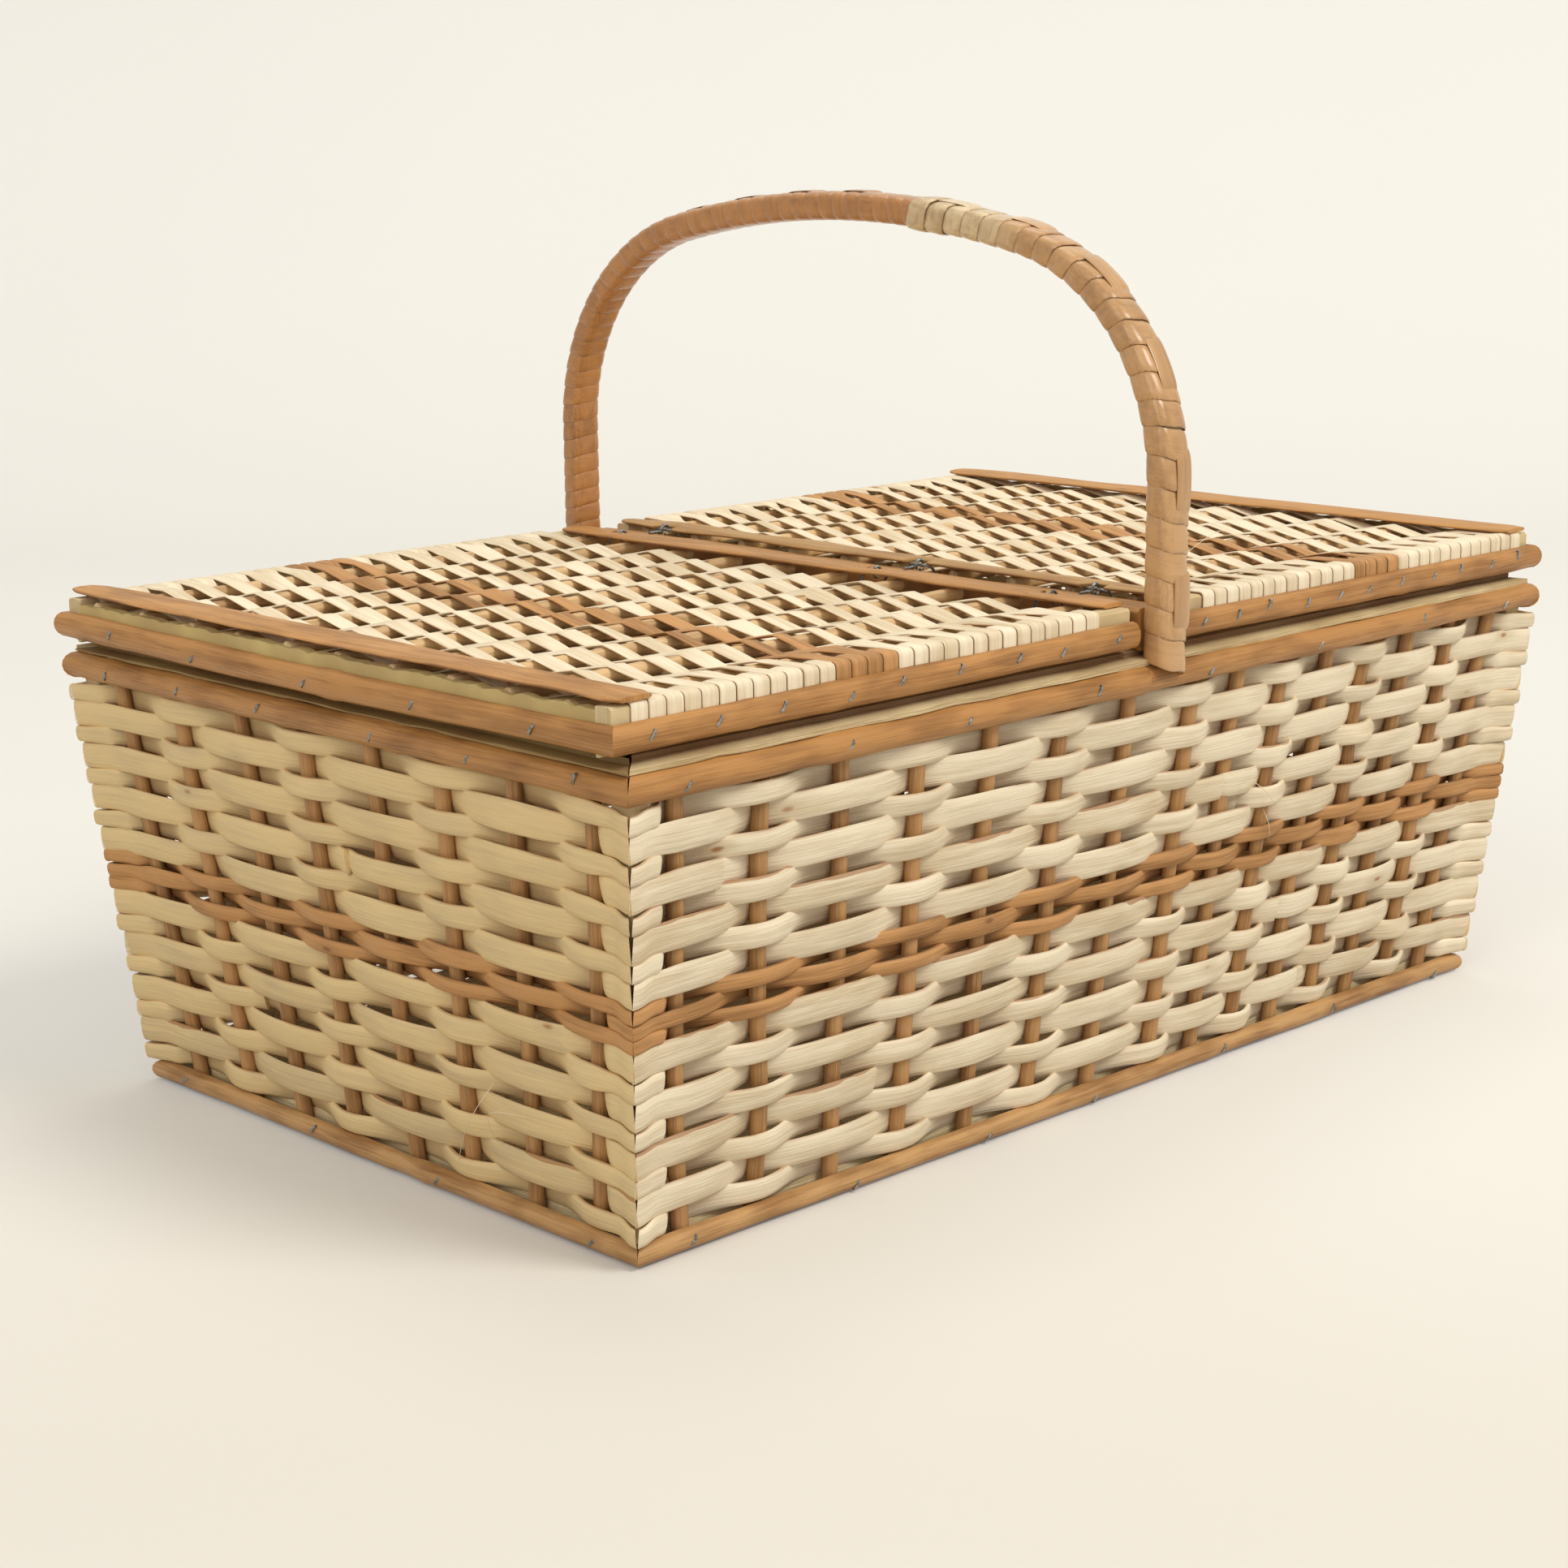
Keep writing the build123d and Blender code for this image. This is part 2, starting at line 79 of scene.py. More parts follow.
# The lids and the handle, as the frame has them
RODS = 10
FRONT_ROD_ROOM = 11.9
BACK_ROD_ROOM = 7.9
SPLIT_PITCH = 6.1
BROWN_SPLITS = 4
BROWN_FROM_END = 14
HINGE_AXES = {"left_lid": -5.5, "right_lid": 14.5}
AXIS_HEIGHT = 156.4
EYE_RADIUS = 1.7
LEG_MIDDLE = 132.0
SHOULDER_RADIUS = 72.0
CROWN_RADIUS = 345.0
CORE_RISE = 2.9
TAB_FOOT = 144.4

# What the photograph adds to the frame
CORNER_SWELL = 2.6
FRONT_RIM_JOIN = -3.0
ROD_RADIUS = 2.15
LID_SPLIT_THICKNESS = 0.65
SPLITS_UNDER_STRIP = 2
CREST_RISE = 2.0
END_BATTEN_RISE = 3.9
HINGE_NOTCH = 4.5
WIRE_RADIUS = 0.5
HANDLE_MIDDLE = 3.8
HANDLE_TURN = math.radians(0.35)
CORE_HALF = np.array([5.0, 3.6])
CORE_INSET = 0.6
CANE_ROOM = 0.28
SQUARENESS = 0.55
WINDINGS_MEET = 33.0
PALE_LENGTH = 42.0

# Joins in a row: wall, row, the stake before the join and the share of the gap after it
ROW_JOINS = (
    ("front", 15, 0, 0.52), ("front", 3, 2, 0.58), ("front", 13, 7, 0.80), ("front", 12, 8, 0.42),
    ("front", 5, 9, 0.62), ("front", 1, 10, 0.4), ("left", 13, 3, 0.5), ("left", 4, 1, 0.55),
    ("right", 5, 2, 0.5), ("right", 14, 4, 0.45), ("back", 3, 4, 0.5), ("back", 6, 10, 0.5),
    ("back", 15, 8, 0.5),
)

# Loose fibres: body, start, stop, bow and radius
FIBRES = (
    ("root", (-197.5, -60.0, 40.0), (-195.0, -40.0, 12.0), (-6, -4, 2), 0.10),
    ("root", (-199.0, -75.0, 34.0), (-195.5, -58.0, 22.0), (-5, 3, 5), 0.08),
    ("root", (70.0, -121.0, 78.0), (62.0, -123.0, 92.0), (2, -4, 0), 0.12),
    ("root", (74.0, -120.0, 70.0), (69.0, -121.5, 82.0), (-3, -4, 0), 0.10),
    ("root", (9.0, -134.0, 171.0), (25.0, -137.0, 177.0), (0, -3, 3), 0.10),
    ("left_lid", (-150.0, -60.0, 157.0), (-141.0, -72.0, 157.4), (0, 0, 1.0), 0.10),
)

# Meshes: how finely a wave is cut, where shading breaks, and how far the grain can be shifted, in metres
WAVE_STEPS = 8
SHARP_ANGLE = math.radians(48)
GRAIN_LENGTH = 5


def length(name, description, millimetres):
    return FloatProperty(name=name, description=description, default=millimetres * MM, unit="LENGTH")


def angle(name, description, degrees):
    return FloatProperty(name=name, description=description, default=math.radians(degrees), subtype="ANGLE")


def colour(name, description, *written):
    """A colour property whose default is an sRGB colour from 0 to 255."""
    return FloatVectorProperty(name=name, description=description, subtype="COLOR", size=3, min=0.0, max=1.0,
                               default=linear(*written))


def linear(*written):
    """Linear colour of an sRGB colour from 0 to 255, by the usual curve."""
    parts = [value / 255 for value in written]
    return tuple(p / 12.92 if p <= 0.04045 else ((p + 0.055) / 1.055) ** 2.4 for p in parts)


class BasketSizes(bpy.types.PropertyGroup):
    """Sizes of the weave and the windings that can be changed by hand."""

    wide_split: length("Wide split", "Width of a broad wall split where it bows over a stake", 9.0)
    narrow_split: length("Narrow split", "Width of a narrow wall split where it bows over a stake", 6.8)
    brown_split: length("Brown split", "Width of an unpeeled wall split", 5.4)
    split_thickness: length("Split thickness", "Thickness of a wall split", 1.1)
    lid_split: length("Lid split", "Width of a lid split where it bows over a rod", 6.7)
    near_cane: length("Near cane pitch", "Distance between turns of the near cane at its foot", 9.2)
    far_cane: length("Far cane pitch", "Distance between turns of the far cane", 6.1)
    staple_length: length("Staple", "Length of a staple's back", 3.0)
    seed: IntProperty(name="Seed", description="Start of the random draws", default=7, min=0)


class BasketColours(bpy.types.PropertyGroup):
    """Main colour of each kind of wood, and of the stage."""

    peeled: colour("Peeled willow", "Cream split willow", 252, 236, 204)
    aged: colour("Aged willow", "Peeled willow of the short walls", 238, 206, 142)
    unpeeled: colour("Unpeeled willow", "Brown rows and splits", 208, 154, 96)
    rod: colour("Willow rod", "Stakes and lid rods", 224, 172, 112)
    band: colour("Willow band", "Half round bands", 196, 140, 78)
    batten: colour("Batten", "Sawn battens", 236, 214, 166)
    near_cane: colour("Near cane", "Winding of the near half", 210, 162, 108)
    far_cane: colour("Far cane", "Winding of the far half", 194, 134, 74)
    floor: colour("Floor", "Plain pale floor", 233, 227, 215)


class BasketStage(bpy.types.PropertyGroup):
    """Camera and light."""

    azimuth: angle("Azimuth", "Camera's place round the basket", -44.334)
    elevation: angle("Elevation", "Camera's height over the horizon", 12.870)
    roll: angle("Roll", "Camera's turn about its own axis", -0.547)
    distance: length("Distance", "From the camera to what it looks at", 981.36)
    target: FloatVectorProperty(name="Target", description="What the camera looks at", size=3,
                                default=(-0.01531, 0.01090, 0.08312), subtype="TRANSLATION")
    lens: FloatProperty(name="Lens", description="Focal length in millimetres", default=68.03)
    key_power: FloatProperty(name="Key light", description="Power of the key light in watts", default=69.0)
    fill: FloatProperty(name="Fill", description="Strength of the light from all round", default=0.63)


def size(name):
    """One of the panel's sizes, in millimetres."""
    return getattr(bpy.context.scene.basket_sizes, name) / MM


def span(node):
    """Lowest and highest corner of a CAD node."""
    return [np.array(corner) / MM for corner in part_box(node)]


# Curves and profiles

def draws(*key):
    """A random generator that gives the same draws for the same words and numbers."""
    total = bpy.context.scene.basket_sizes.seed
    for letter in "".join(str(part) for part in key):
        total = (total * 131 + ord(letter)) % 2147483647
    return np.random.default_rng(total)


def eased(t):
    """Half a cosine wave from 0 to 1."""
    return 0.5 - 0.5 * np.cos(np.pi * t)


def through(stations, values, at):
    """Values between stations, eased by half a cosine wave from each station to the next."""
    stations, values = np.asarray(stations, float), np.asarray(values, float)
    i = np.clip(np.searchsorted(stations, at, side="right") - 1, 0, len(stations) - 2)
    t = np.clip((at - stations[i]) / (stations[i + 1] - stations[i]), 0, 1)
    return values[i] + (values[i + 1] - values[i]) * eased(t)


def wander(rng, at, step, spread):
    """A slow random drift: draws of this spread one step apart, eased between them."""
    low, high = float(np.min(at)), float(np.max(at))
    stations = np.linspace(low - 1e-6, high + 1e-6, max(3, int((high - low) / step) + 2))
    return through(stations, rng.normal(0, spread, len(stations)), at)


def sampled(stations):
    """Even places in each gap between stations, and the last station."""
    stations = np.asarray(stations, float)
    parts = [np.linspace(a, b, WAVE_STEPS, endpoint=False) for a, b in zip(stations[:-1], stations[1:])]
    return np.concatenate(parts + [stations[-1:]])


def unit(vectors):
    return vectors / np.linalg.norm(vectors, axis=-1, keepdims=True)


def table(*columns):
    """Columns of numbers side by side, each stretched to the same shape."""
    return np.stack(np.broadcast_arrays(*columns), -1)


def about_z(cos, sin):
    """The matrix that turns rows of points about Z."""
    return np.array([[cos, sin, 0], [-sin, cos, 0], [0, 0, 1]], float)


def column(values):
    return np.reshape(values, (-1, 1))


def split_profile(width, thickness, crown=0.25):
    """A flat split: straight back, rounded edges and a slightly crowned face. Widths may be an array."""
    across = np.array([0.5, 0.5, 0.43, 0.2, -0.2, -0.43, -0.5, -0.5, -0.42, 0.42])
    high = np.array([-0.12, 0.12, 0.42, 0.5, 0.5, 0.42, 0.12, -0.12, -0.5, -0.5])
    bulge = np.array([0, 0, 0.4, 1, 1, 0.4, 0, 0, 0, 0]) * crown
    return table(across * column(width), high * column(thickness) + bulge)


def round_profile(radius, corners=10, squash=1.0):
    """A circle of this radius, or an ellipse, whose radius may change along the tube."""
    turn = np.arange(corners) * 2 * np.pi / corners
    radius = column(radius)
    return np.stack([radius * np.cos(turn), radius * squash * np.sin(turn)], -1)


def half_round_profile(width, depth, corners=9):
    """A split rod: flat side at height 0, round side up to the depth, with a small round at each edge."""
    turn = np.linspace(0, np.pi, corners)
    return np.stack([column(width) / 2 * np.cos(turn), column(depth) * np.sin(turn) ** 0.82], -1)


def board_profile(width, thickness, edge=0.5):
    """A sawn board with small bevels along its four edges."""
    a, b = column(width) / 2, column(thickness) / 2
    across = [a, a, a - edge, edge - a, -a, -a, edge - a, a - edge]
    high = [edge - b, b - edge, b, b, b - edge, edge - b, -b, -b]
    return np.stack([np.concatenate(across, 1), np.concatenate(high, 1)], -1)


# Meshes

class Shape:
    """Closed tubes gathered for one piece.

    A tube is a grid: a profile of k points carried along m places. Each point is its place, plus the
    profile's first offset times the side direction there, plus its second offset times the up direction
    there. Beside its points, a shape keeps the lay of the wood, which is the length along the tube, the
    distance across it and a tone, and marks, which are nearness to the edge, a share of painted shade that
    darkens the wood where it lies under a crossing or in a recess, and a share of the aged colour, which is
    how far the wood is aged and, on the lid rods, painted light.
    """

    def __init__(self):
        self.points, self.faces, self.lay, self.mark = [], [], [], []
        self.count = 0

    def tube(self, centre, side, up, profile, tone=0.5, shade_share=0.0, age_and_light=0.0, start=0.0):
        centre = np.asarray(centre, float)
        places = len(centre)
        side, up = np.broadcast_to(side, (places, 3)), np.broadcast_to(up, (places, 3))
        profile = np.broadcast_to(profile, (places,) + profile.shape[-2:])
        corners = profile.shape[1]
        grid = centre[:, None] + side[:, None] * profile[..., :1] + up[:, None] * profile[..., 1:]

        i, j = np.meshgrid(np.arange(places - 1), np.arange(corners), indexing="ij")
        here, beside = i * corners + j, i * corners + (j + 1) % corners
        quads = np.stack([here, beside, beside + corners, here + corners], -1).reshape(-1, 4)
        caps = [np.arange(corners)[::-1], np.arange(corners) + (places - 1) * corners]
        if np.sum(np.cross(side, up) * np.gradient(centre, axis=0)) < 0:
            quads, caps = quads[:, ::-1], [cap[::-1] for cap in caps]
        self.faces += (quads + self.count).tolist() + [(cap + self.count).tolist() for cap in caps]

        steps = np.linalg.norm(np.diff(centre, axis=0), axis=1)
        along = np.concatenate([[0], np.cumsum(steps)]) * MM + start
        reach = np.abs(profile[..., 0]).max(axis=1, keepdims=True)
        # The second mark is painted shade: the material darkens the wood towards bark by it.
        shade_share = shade_share if np.ndim(shade_share) == 2 else column(shade_share)
        lay = table(along[:, None], profile[..., 0] * MM, column(tone))
        mark = table(np.abs(profile[..., 0]) / reach, shade_share, column(age_and_light))
        for kept, values in ((self.points, grid), (self.lay, lay), (self.mark, mark)):
            kept.append(values.reshape(-1, 3))
        self.count += places * corners

    def grown(self, rng, centre, side, up, profile, shade_share=0.0, age_and_light=0.0):
        """A tube that has its own tone and its own place in the grain."""
        self.tube(centre, side, up, profile, rng.random(), shade_share, age_and_light, rng.random() * GRAIN_LENGTH)

    def plank(self, rng, start, stop, side, up, width, thickness, age_and_light=0.0, warp=0.12, edge=0.5):
        """A sawn board between two points, whose width, thickness and line drift a little."""
        start, stop = np.asarray(start, float), np.asarray(stop, float)
        run = np.linalg.norm(stop - start)
        t = np.linspace(0, 1, max(8, int(run / 6)))
        at = t * run
        bend = wander(rng, at, 40, warp) * np.minimum(1, 8 * t * (1 - t))
        centre = start + (stop - start) * t[:, None] + up * bend[:, None]
        width = width * (1 + wander(rng, at, 25, 0.012))
        thickness = thickness * (1 + wander(rng, at, 18, 0.02))
        self.grown(rng, centre, side, up, board_profile(width, thickness, edge), 0.0, age_and_light)

    def wire(self, path, across, tone, radius=WIRE_RADIUS, corners=8):
        """Round wire along a path that lies in a plane across this direction."""
        path = np.asarray(path, float)
        up = unit(np.cross(unit(np.gradient(path, axis=0)), across))
        self.tube(path, across, up, round_profile(radius, corners), tone)

    def turned(self, quarter):
        """Turns all points gathered so far by quarter turns about Z."""
        turn = about_z(*((1, 0), (0, 1), (-1, 0), (0, -1))[quarter % 4])
        self.points = [points @ turn for points in self.points]
        return self

    def take(self, other):
        """Adds all tubes of another shape to this one."""
        self.faces += [[index + self.count for index in face] for face in other.faces]
        self.points += other.points
        self.lay += other.lay
        self.mark += other.mark
        self.count += other.count

    def made(self, name, body, slot, *nodes):
        """Makes the object, which rides on a CAD body and stands for these CAD nodes."""
        mesh = bpy.data.meshes.new(name)
        mesh.from_pydata((np.concatenate(self.points) * MM).tolist(), [], self.faces)
        for layer, values in (("lay", self.lay), ("mark", self.mark)):
            attribute = mesh.attributes.new(layer, "FLOAT_VECTOR", "POINT")
            attribute.data.foreach_set("vector", np.concatenate(values).astype(np.float32).ravel())
        mesh.polygons.foreach_set("use_smooth", np.ones(len(mesh.polygons), bool))
        mesh.set_sharp_from_angle(angle=SHARP_ANGLE)
        mesh.materials.append(bpy.data.materials[f"{slot}_look"])
        mesh.update()
        piece = bpy.data.objects.new(name, mesh)
        bpy.context.scene.collection.objects.link(piece)
        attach(piece, body)
        if nodes:
            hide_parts(*nodes)


# Materials

class Nodes:
    """Short calls that add nodes to a tree and link them."""

    def __init__(self, tree):
        self.tree = tree

    def add(self, kind, **values):
        node = self.tree.nodes.new(kind)
        for key, value in values.items():
            setattr(node, key, value)
        return node

    def link(self, source, target):
        if isinstance(source, bpy.types.NodeSocket):
            self.tree.links.new(source, target)
        else:
            target.default_value = source

    def fed(self, kind, sources, **values):
        """Adds a node and feeds its inputs, by name or number."""
        node = self.add(kind, **values)
        for key, source in sources.items():
            self.link(source, node.inputs[key])
        return node.outputs

    def math(self, operation, first, second, clamp=False):
        return self.fed("ShaderNodeMath", {0: first, 1: second}, operation=operation, use_clamp=clamp)[0]

    def plus(self, first, second, clamp=False):
        return self.math("ADD", first, second, clamp)

    def minus(self, first, second):
        return self.math("SUBTRACT", first, second)

    def times(self, first, second):
        return self.math("MULTIPLY", first, second)

    def ramp(self, value, low, high):
        """From 0 at the low value to 1 at the high one, smoothly."""
        return self.fed("ShaderNodeMapRange", {"Value": value, "From Min": low, "From Max": high},
                        interpolation_type="SMOOTHSTEP")["Result"]

    def between(self, value, low, high):
        """From the low value at 0 to the high one at 1."""
        return self.fed("ShaderNodeMapRange", {"Value": value, "To Min": low, "To Max": high})["Result"]

    def mix(self, share, first, second):
        return self.fed("ShaderNodeMix", {0: share, 6: first, 7: second}, data_type="RGBA")[2]

    def vector(self, x, y, z):
        return self.fed("ShaderNodeCombineXYZ", {0: x, 1: y, 2: z})[0]

    def parts(self, attribute):
        read = self.add("ShaderNodeAttribute", attribute_name=attribute).outputs["Vector"]
        return self.fed("ShaderNodeSeparateXYZ", {0: read})

    def noise(self, vector, scale, detail=3.0, rough=0.55):
        return self.fed("ShaderNodeTexNoise", {"Vector": vector, "Scale": scale, "Detail": detail,
                                               "Roughness": rough})["Fac"]

    def place(self):
        return self.add("ShaderNodeTexCoord").outputs["Object"]


def new_group(name, inputs, outputs):
    """An empty shader group: a Nodes on it, its inputs and its outputs."""
    tree = bpy.data.node_groups.new(name, "ShaderNodeTree")
    for label, default in inputs.items():
        kind = "NodeSocketColor" if isinstance(default, tuple) else "NodeSocketFloat"
        tree.interface.new_socket(label, in_out="INPUT", socket_type=kind).default_value = default
    for label in outputs:
        kind = "NodeSocketColor" if label == "Colour" else "NodeSocketFloat"
        tree.interface.new_socket(label, in_out="OUTPUT", socket_type=kind)
    n = Nodes(tree)
    return n, n.add("NodeGroupInput").outputs, n.add("NodeGroupOutput").inputs


def split_wood_group():
    """Colour and height of split willow.

    Fine streaks are noise stretched along the lay, blotches are slow noise, knots are rare spots of a cell
    pattern, a strip of bark keeps to one edge of some splits, the edge mark adds worn bark at the edges,
    and the second mark adds painted shade, darkening the wood towards bark under crossings and in recesses.
    """
    n, given, out = new_group("split_wood", {
        "Wood": (0.8, 0.7, 0.5, 1), "Aged": (0.7, 0.6, 0.4, 1), "Deep": (0.5, 0.35, 0.2, 1),
        "Bark": (0.3, 0.15, 0.06, 1), "Streak": 0.35, "Blotch": 0.5, "Tone": 0.4, "Knots": 0.6, "Edge": 0.5,
        "Barkside": 0.0, "Dirt": 0.5}, ("Colour", "Height", "Rough"))
    along, across, tone = n.parts("lay")
    edge, shade_share, age_and_light = n.parts("mark")
    shift = n.times(tone, 91.7)

    def stretched(along_scale, across_scale):
        return n.vector(n.times(along, along_scale), n.times(across, across_scale), shift)

    fine = n.ramp(n.noise(stretched(60.0, 1900.0), 1.0), 0.3, 0.7)
    coarse = n.ramp(n.noise(stretched(22.0, 520.0), 1.0, 2.0), 0.32, 0.68)
    slow = n.ramp(n.noise(stretched(38.0, 110.0), 1.0, 2.0), 0.3, 0.7)
    streaks = n.times(n.minus(n.plus(fine, coarse), 1.0), given["Streak"])
    blotches = n.times(n.minus(slow, 0.5), given["Blotch"])
    toned = n.times(n.minus(tone, 0.5), given["Tone"])
    share = n.plus(n.plus(n.plus(streaks, blotches), toned), 0.24, clamp=True)
    shade = n.mix(share, n.mix(age_and_light, given["Wood"], given["Aged"]), given["Deep"])

    cells = n.fed("ShaderNodeTexVoronoi", {"Vector": stretched(46.0, 110.0), "Scale": 1.0}, feature="F1")
    rare = n.ramp(n.fed("ShaderNodeSeparateColor", {0: cells["Color"]})[0], 0.80, 0.84)
    spot = n.minus(1.0, n.ramp(cells["Distance"], 0.04, 0.13))
    halo = n.minus(1.0, n.ramp(cells["Distance"], 0.08, 0.4))
    knots = n.times(n.times(rare, spot), given["Knots"])
    shade = n.mix(n.times(n.times(rare, halo), n.times(given["Knots"], 0.6)), shade, given["Deep"])
    shade = n.mix(knots, shade, given["Bark"])

    kept = n.times(n.ramp(tone, 0.72, 0.75), given["Barkside"])
    line = n.minus(n.times(across, 1000.0), n.times(slow, 2.2))
    patchy = n.ramp(n.noise(n.vector(n.times(along, 30.0), shift, 3.0), 1.0, 2.0), 0.38, 0.62)
    worn = n.times(n.ramp(edge, 0.88, 1.0), n.times(patchy, given["Edge"]))
    # Painted shade: the second mark times this share mixes the colour towards bark.
    under_shade = n.times(n.ramp(shade_share, 0.0, 1.0), given["Dirt"])
    for mask in (n.times(n.ramp(line, 2.9, 3.15), kept), worn, under_shade):
        shade = n.mix(mask, shade, given["Bark"])
    n.link(shade, out["Colour"])
    n.link(n.minus(n.plus(fine, n.times(coarse, 0.6)), n.times(knots, 1.2)), out["Height"])
    n.link(fine, out["Rough"])


def fuzz_group():
    """Height of a sawn face: short torn fibres from two noises."""
    n, given, out = new_group("sawn_fuzz", {"Scale": 1.0}, ("Height",))
    place = n.place()
    torn = n.noise(place, n.times(given["Scale"], 700.0), 4.0, 0.7)
    n.link(n.plus(torn, n.noise(place, n.times(given["Scale"], 260.0), 2.0)), out["Height"])


def new_material(name):
    material = bpy.data.materials.new(name)
    material.use_nodes = True
    return Nodes(material.node_tree), material.node_tree.nodes["Principled BSDF"].inputs, material


def wood(name, wood_colour, aged, deep, bark, roughness, bump=0.3, coat=0.0, fuzz=0.0, **shares):
    """A material from the shared wood group, with its own colours and shares."""
    n, surface, _ = new_material(f"{name}_look")
    grain = n.add("ShaderNodeGroup", node_tree=bpy.data.node_groups["split_wood"])
    for label, value in (("Wood", wood_colour), ("Aged", aged), ("Deep", deep), ("Bark", bark)):
        grain.inputs[label].default_value = (*value, 1)
    for label, value in shares.items():
        grain.inputs[label.capitalize()].default_value = value
    n.link(grain.outputs["Colour"], surface["Base Color"])
    n.link(n.between(grain.outputs["Rough"], *roughness), surface["Roughness"])
    height = grain.outputs["Height"]
    if fuzz:
        torn = n.add("ShaderNodeGroup", node_tree=bpy.data.node_groups["sawn_fuzz"])
        height = n.plus(height, n.times(torn.outputs["Height"], fuzz))
    relief = n.fed("ShaderNodeBump", {"Strength": bump, "Distance": 0.0005, "Height": height})
    n.link(relief["Normal"], surface["Normal"])
    surface["Specular IOR Level"].default_value = 0.35
    surface["Coat Weight"].default_value = coat
    surface["Coat Roughness"].default_value = 0.25


def scaled(given, factor, warm=0.0):
    """The same colour made darker or paler, and warmer by lowering its blue."""
    red, green, blue = (min(1.0, part * factor) for part in given)
    return red, green * (1 - 0.4 * warm), blue * (1 - warm)


def steel():
    """Dull drawn wire with small tarnish spots."""
    n, surface, _ = new_material("hinge_wire_look")
    spots = n.noise(n.place(), 900.0, 2.0)
    shade = n.mix(n.ramp(spots, 0.4, 0.7), (0.34, 0.35, 0.34, 1), (0.15, 0.15, 0.14, 1))
    n.link(shade, surface["Base Color"])
    n.link(n.between(spots, 0.4, 0.6), surface["Roughness"])
    surface["Metallic"].default_value = 1.0


def make_materials():
    split_wood_group()
    fuzz_group()
    look = bpy.context.scene.basket_colours
    bark, aged, unpeeled = linear(116, 66, 32), tuple(look.aged), tuple(look.unpeeled)
    # Each wood's last share sets how far its painted shade darkens it towards bark.
    wood("peeled_willow", look.peeled, aged, scaled(look.peeled, 0.66, 0.3), linear(166, 106, 54),
         (0.5, 0.68), 0.25, streak=0.3, blotch=0.4, tone=0.45, knots=0.85, edge=0.6, barkside=0.7, dirt=0.2)
    wood("unpeeled_willow", unpeeled, unpeeled, scaled(unpeeled, 0.5, 0.2), scaled(bark, 0.7), (0.45, 0.65),
         streak=0.4, blotch=0.7, tone=0.6, knots=0.6, edge=0.5, dirt=0.5)
    # The rod's aged colour is its pale cut end; the lid rods also mix it in as painted light.
    wood("willow_rod", look.rod, linear(228, 200, 152), scaled(look.rod, 0.45, 0.2), scaled(bark, 0.6),
         (0.42, 0.6), streak=0.4, blotch=0.7, tone=0.6, knots=0.6, edge=0.0, dirt=0.45)
    wood("willow_band", look.band, linear(216, 178, 124), scaled(look.band, 0.5, 0.3), scaled(bark, 0.7),
         (0.36, 0.56), coat=0.12, streak=0.4, blotch=0.7, tone=0.25, knots=0.7, edge=0.2, dirt=0.4)
    wood("willow_strip", scaled(look.band, 1.12), linear(184, 148, 92), scaled(look.band, 0.6, 0.15),
         scaled(bark, 0.8), (0.42, 0.6), streak=0.4, blotch=0.6, tone=0.5, knots=0.6, edge=0.7, dirt=0.3)
    wood("pine_batten", look.batten, linear(216, 192, 122), scaled(look.batten, 0.66, 0.3), bark,
         (0.65, 0.85), 0.5, fuzz=0.8, streak=0.3, blotch=0.5, tone=0.4, knots=0.4, edge=0.2, dirt=0.85)
    core = scaled(look.batten, 0.8)
    wood("core_wood", core, core, scaled(look.batten, 0.5, 0.2), bark, (0.55, 0.75),
         streak=0.4, blotch=0.5, tone=0.4, knots=0.2, edge=0.0, dirt=0.3)
    wood("tan_cane", look.near_cane, linear(232, 206, 160), scaled(look.near_cane, 0.55, 0.2),
         scaled(bark, 0.5), (0.22, 0.34), 0.12, coat=0.6, streak=0.22, blotch=0.35, tone=0.8, knots=0.3,
         edge=0.6, dirt=0.4)
    wood("brown_cane", look.far_cane, look.far_cane, scaled(look.far_cane, 0.5, 0.2), scaled(bark, 0.45),
         (0.22, 0.34), 0.12, coat=0.6, streak=0.25, blotch=0.4, tone=0.8, knots=0.3, edge=0.6, dirt=0.4)
    steel()


# Walls

def wall_line(side):
    """Distance of the stakes' plane from the middle at height 0, and its lean, from the CAD stakes' box."""
    low, high = span(f"stakes_{side}")
    axis = 1 if side in ("front", "back") else 0
    near, far = sorted((abs(low[axis]), abs(high[axis])))
    lean = (far - near - 2 * STAKE_RADIUS) / (high[2] - low[2])
    return near + STAKE_RADIUS - lean * low[2], lean


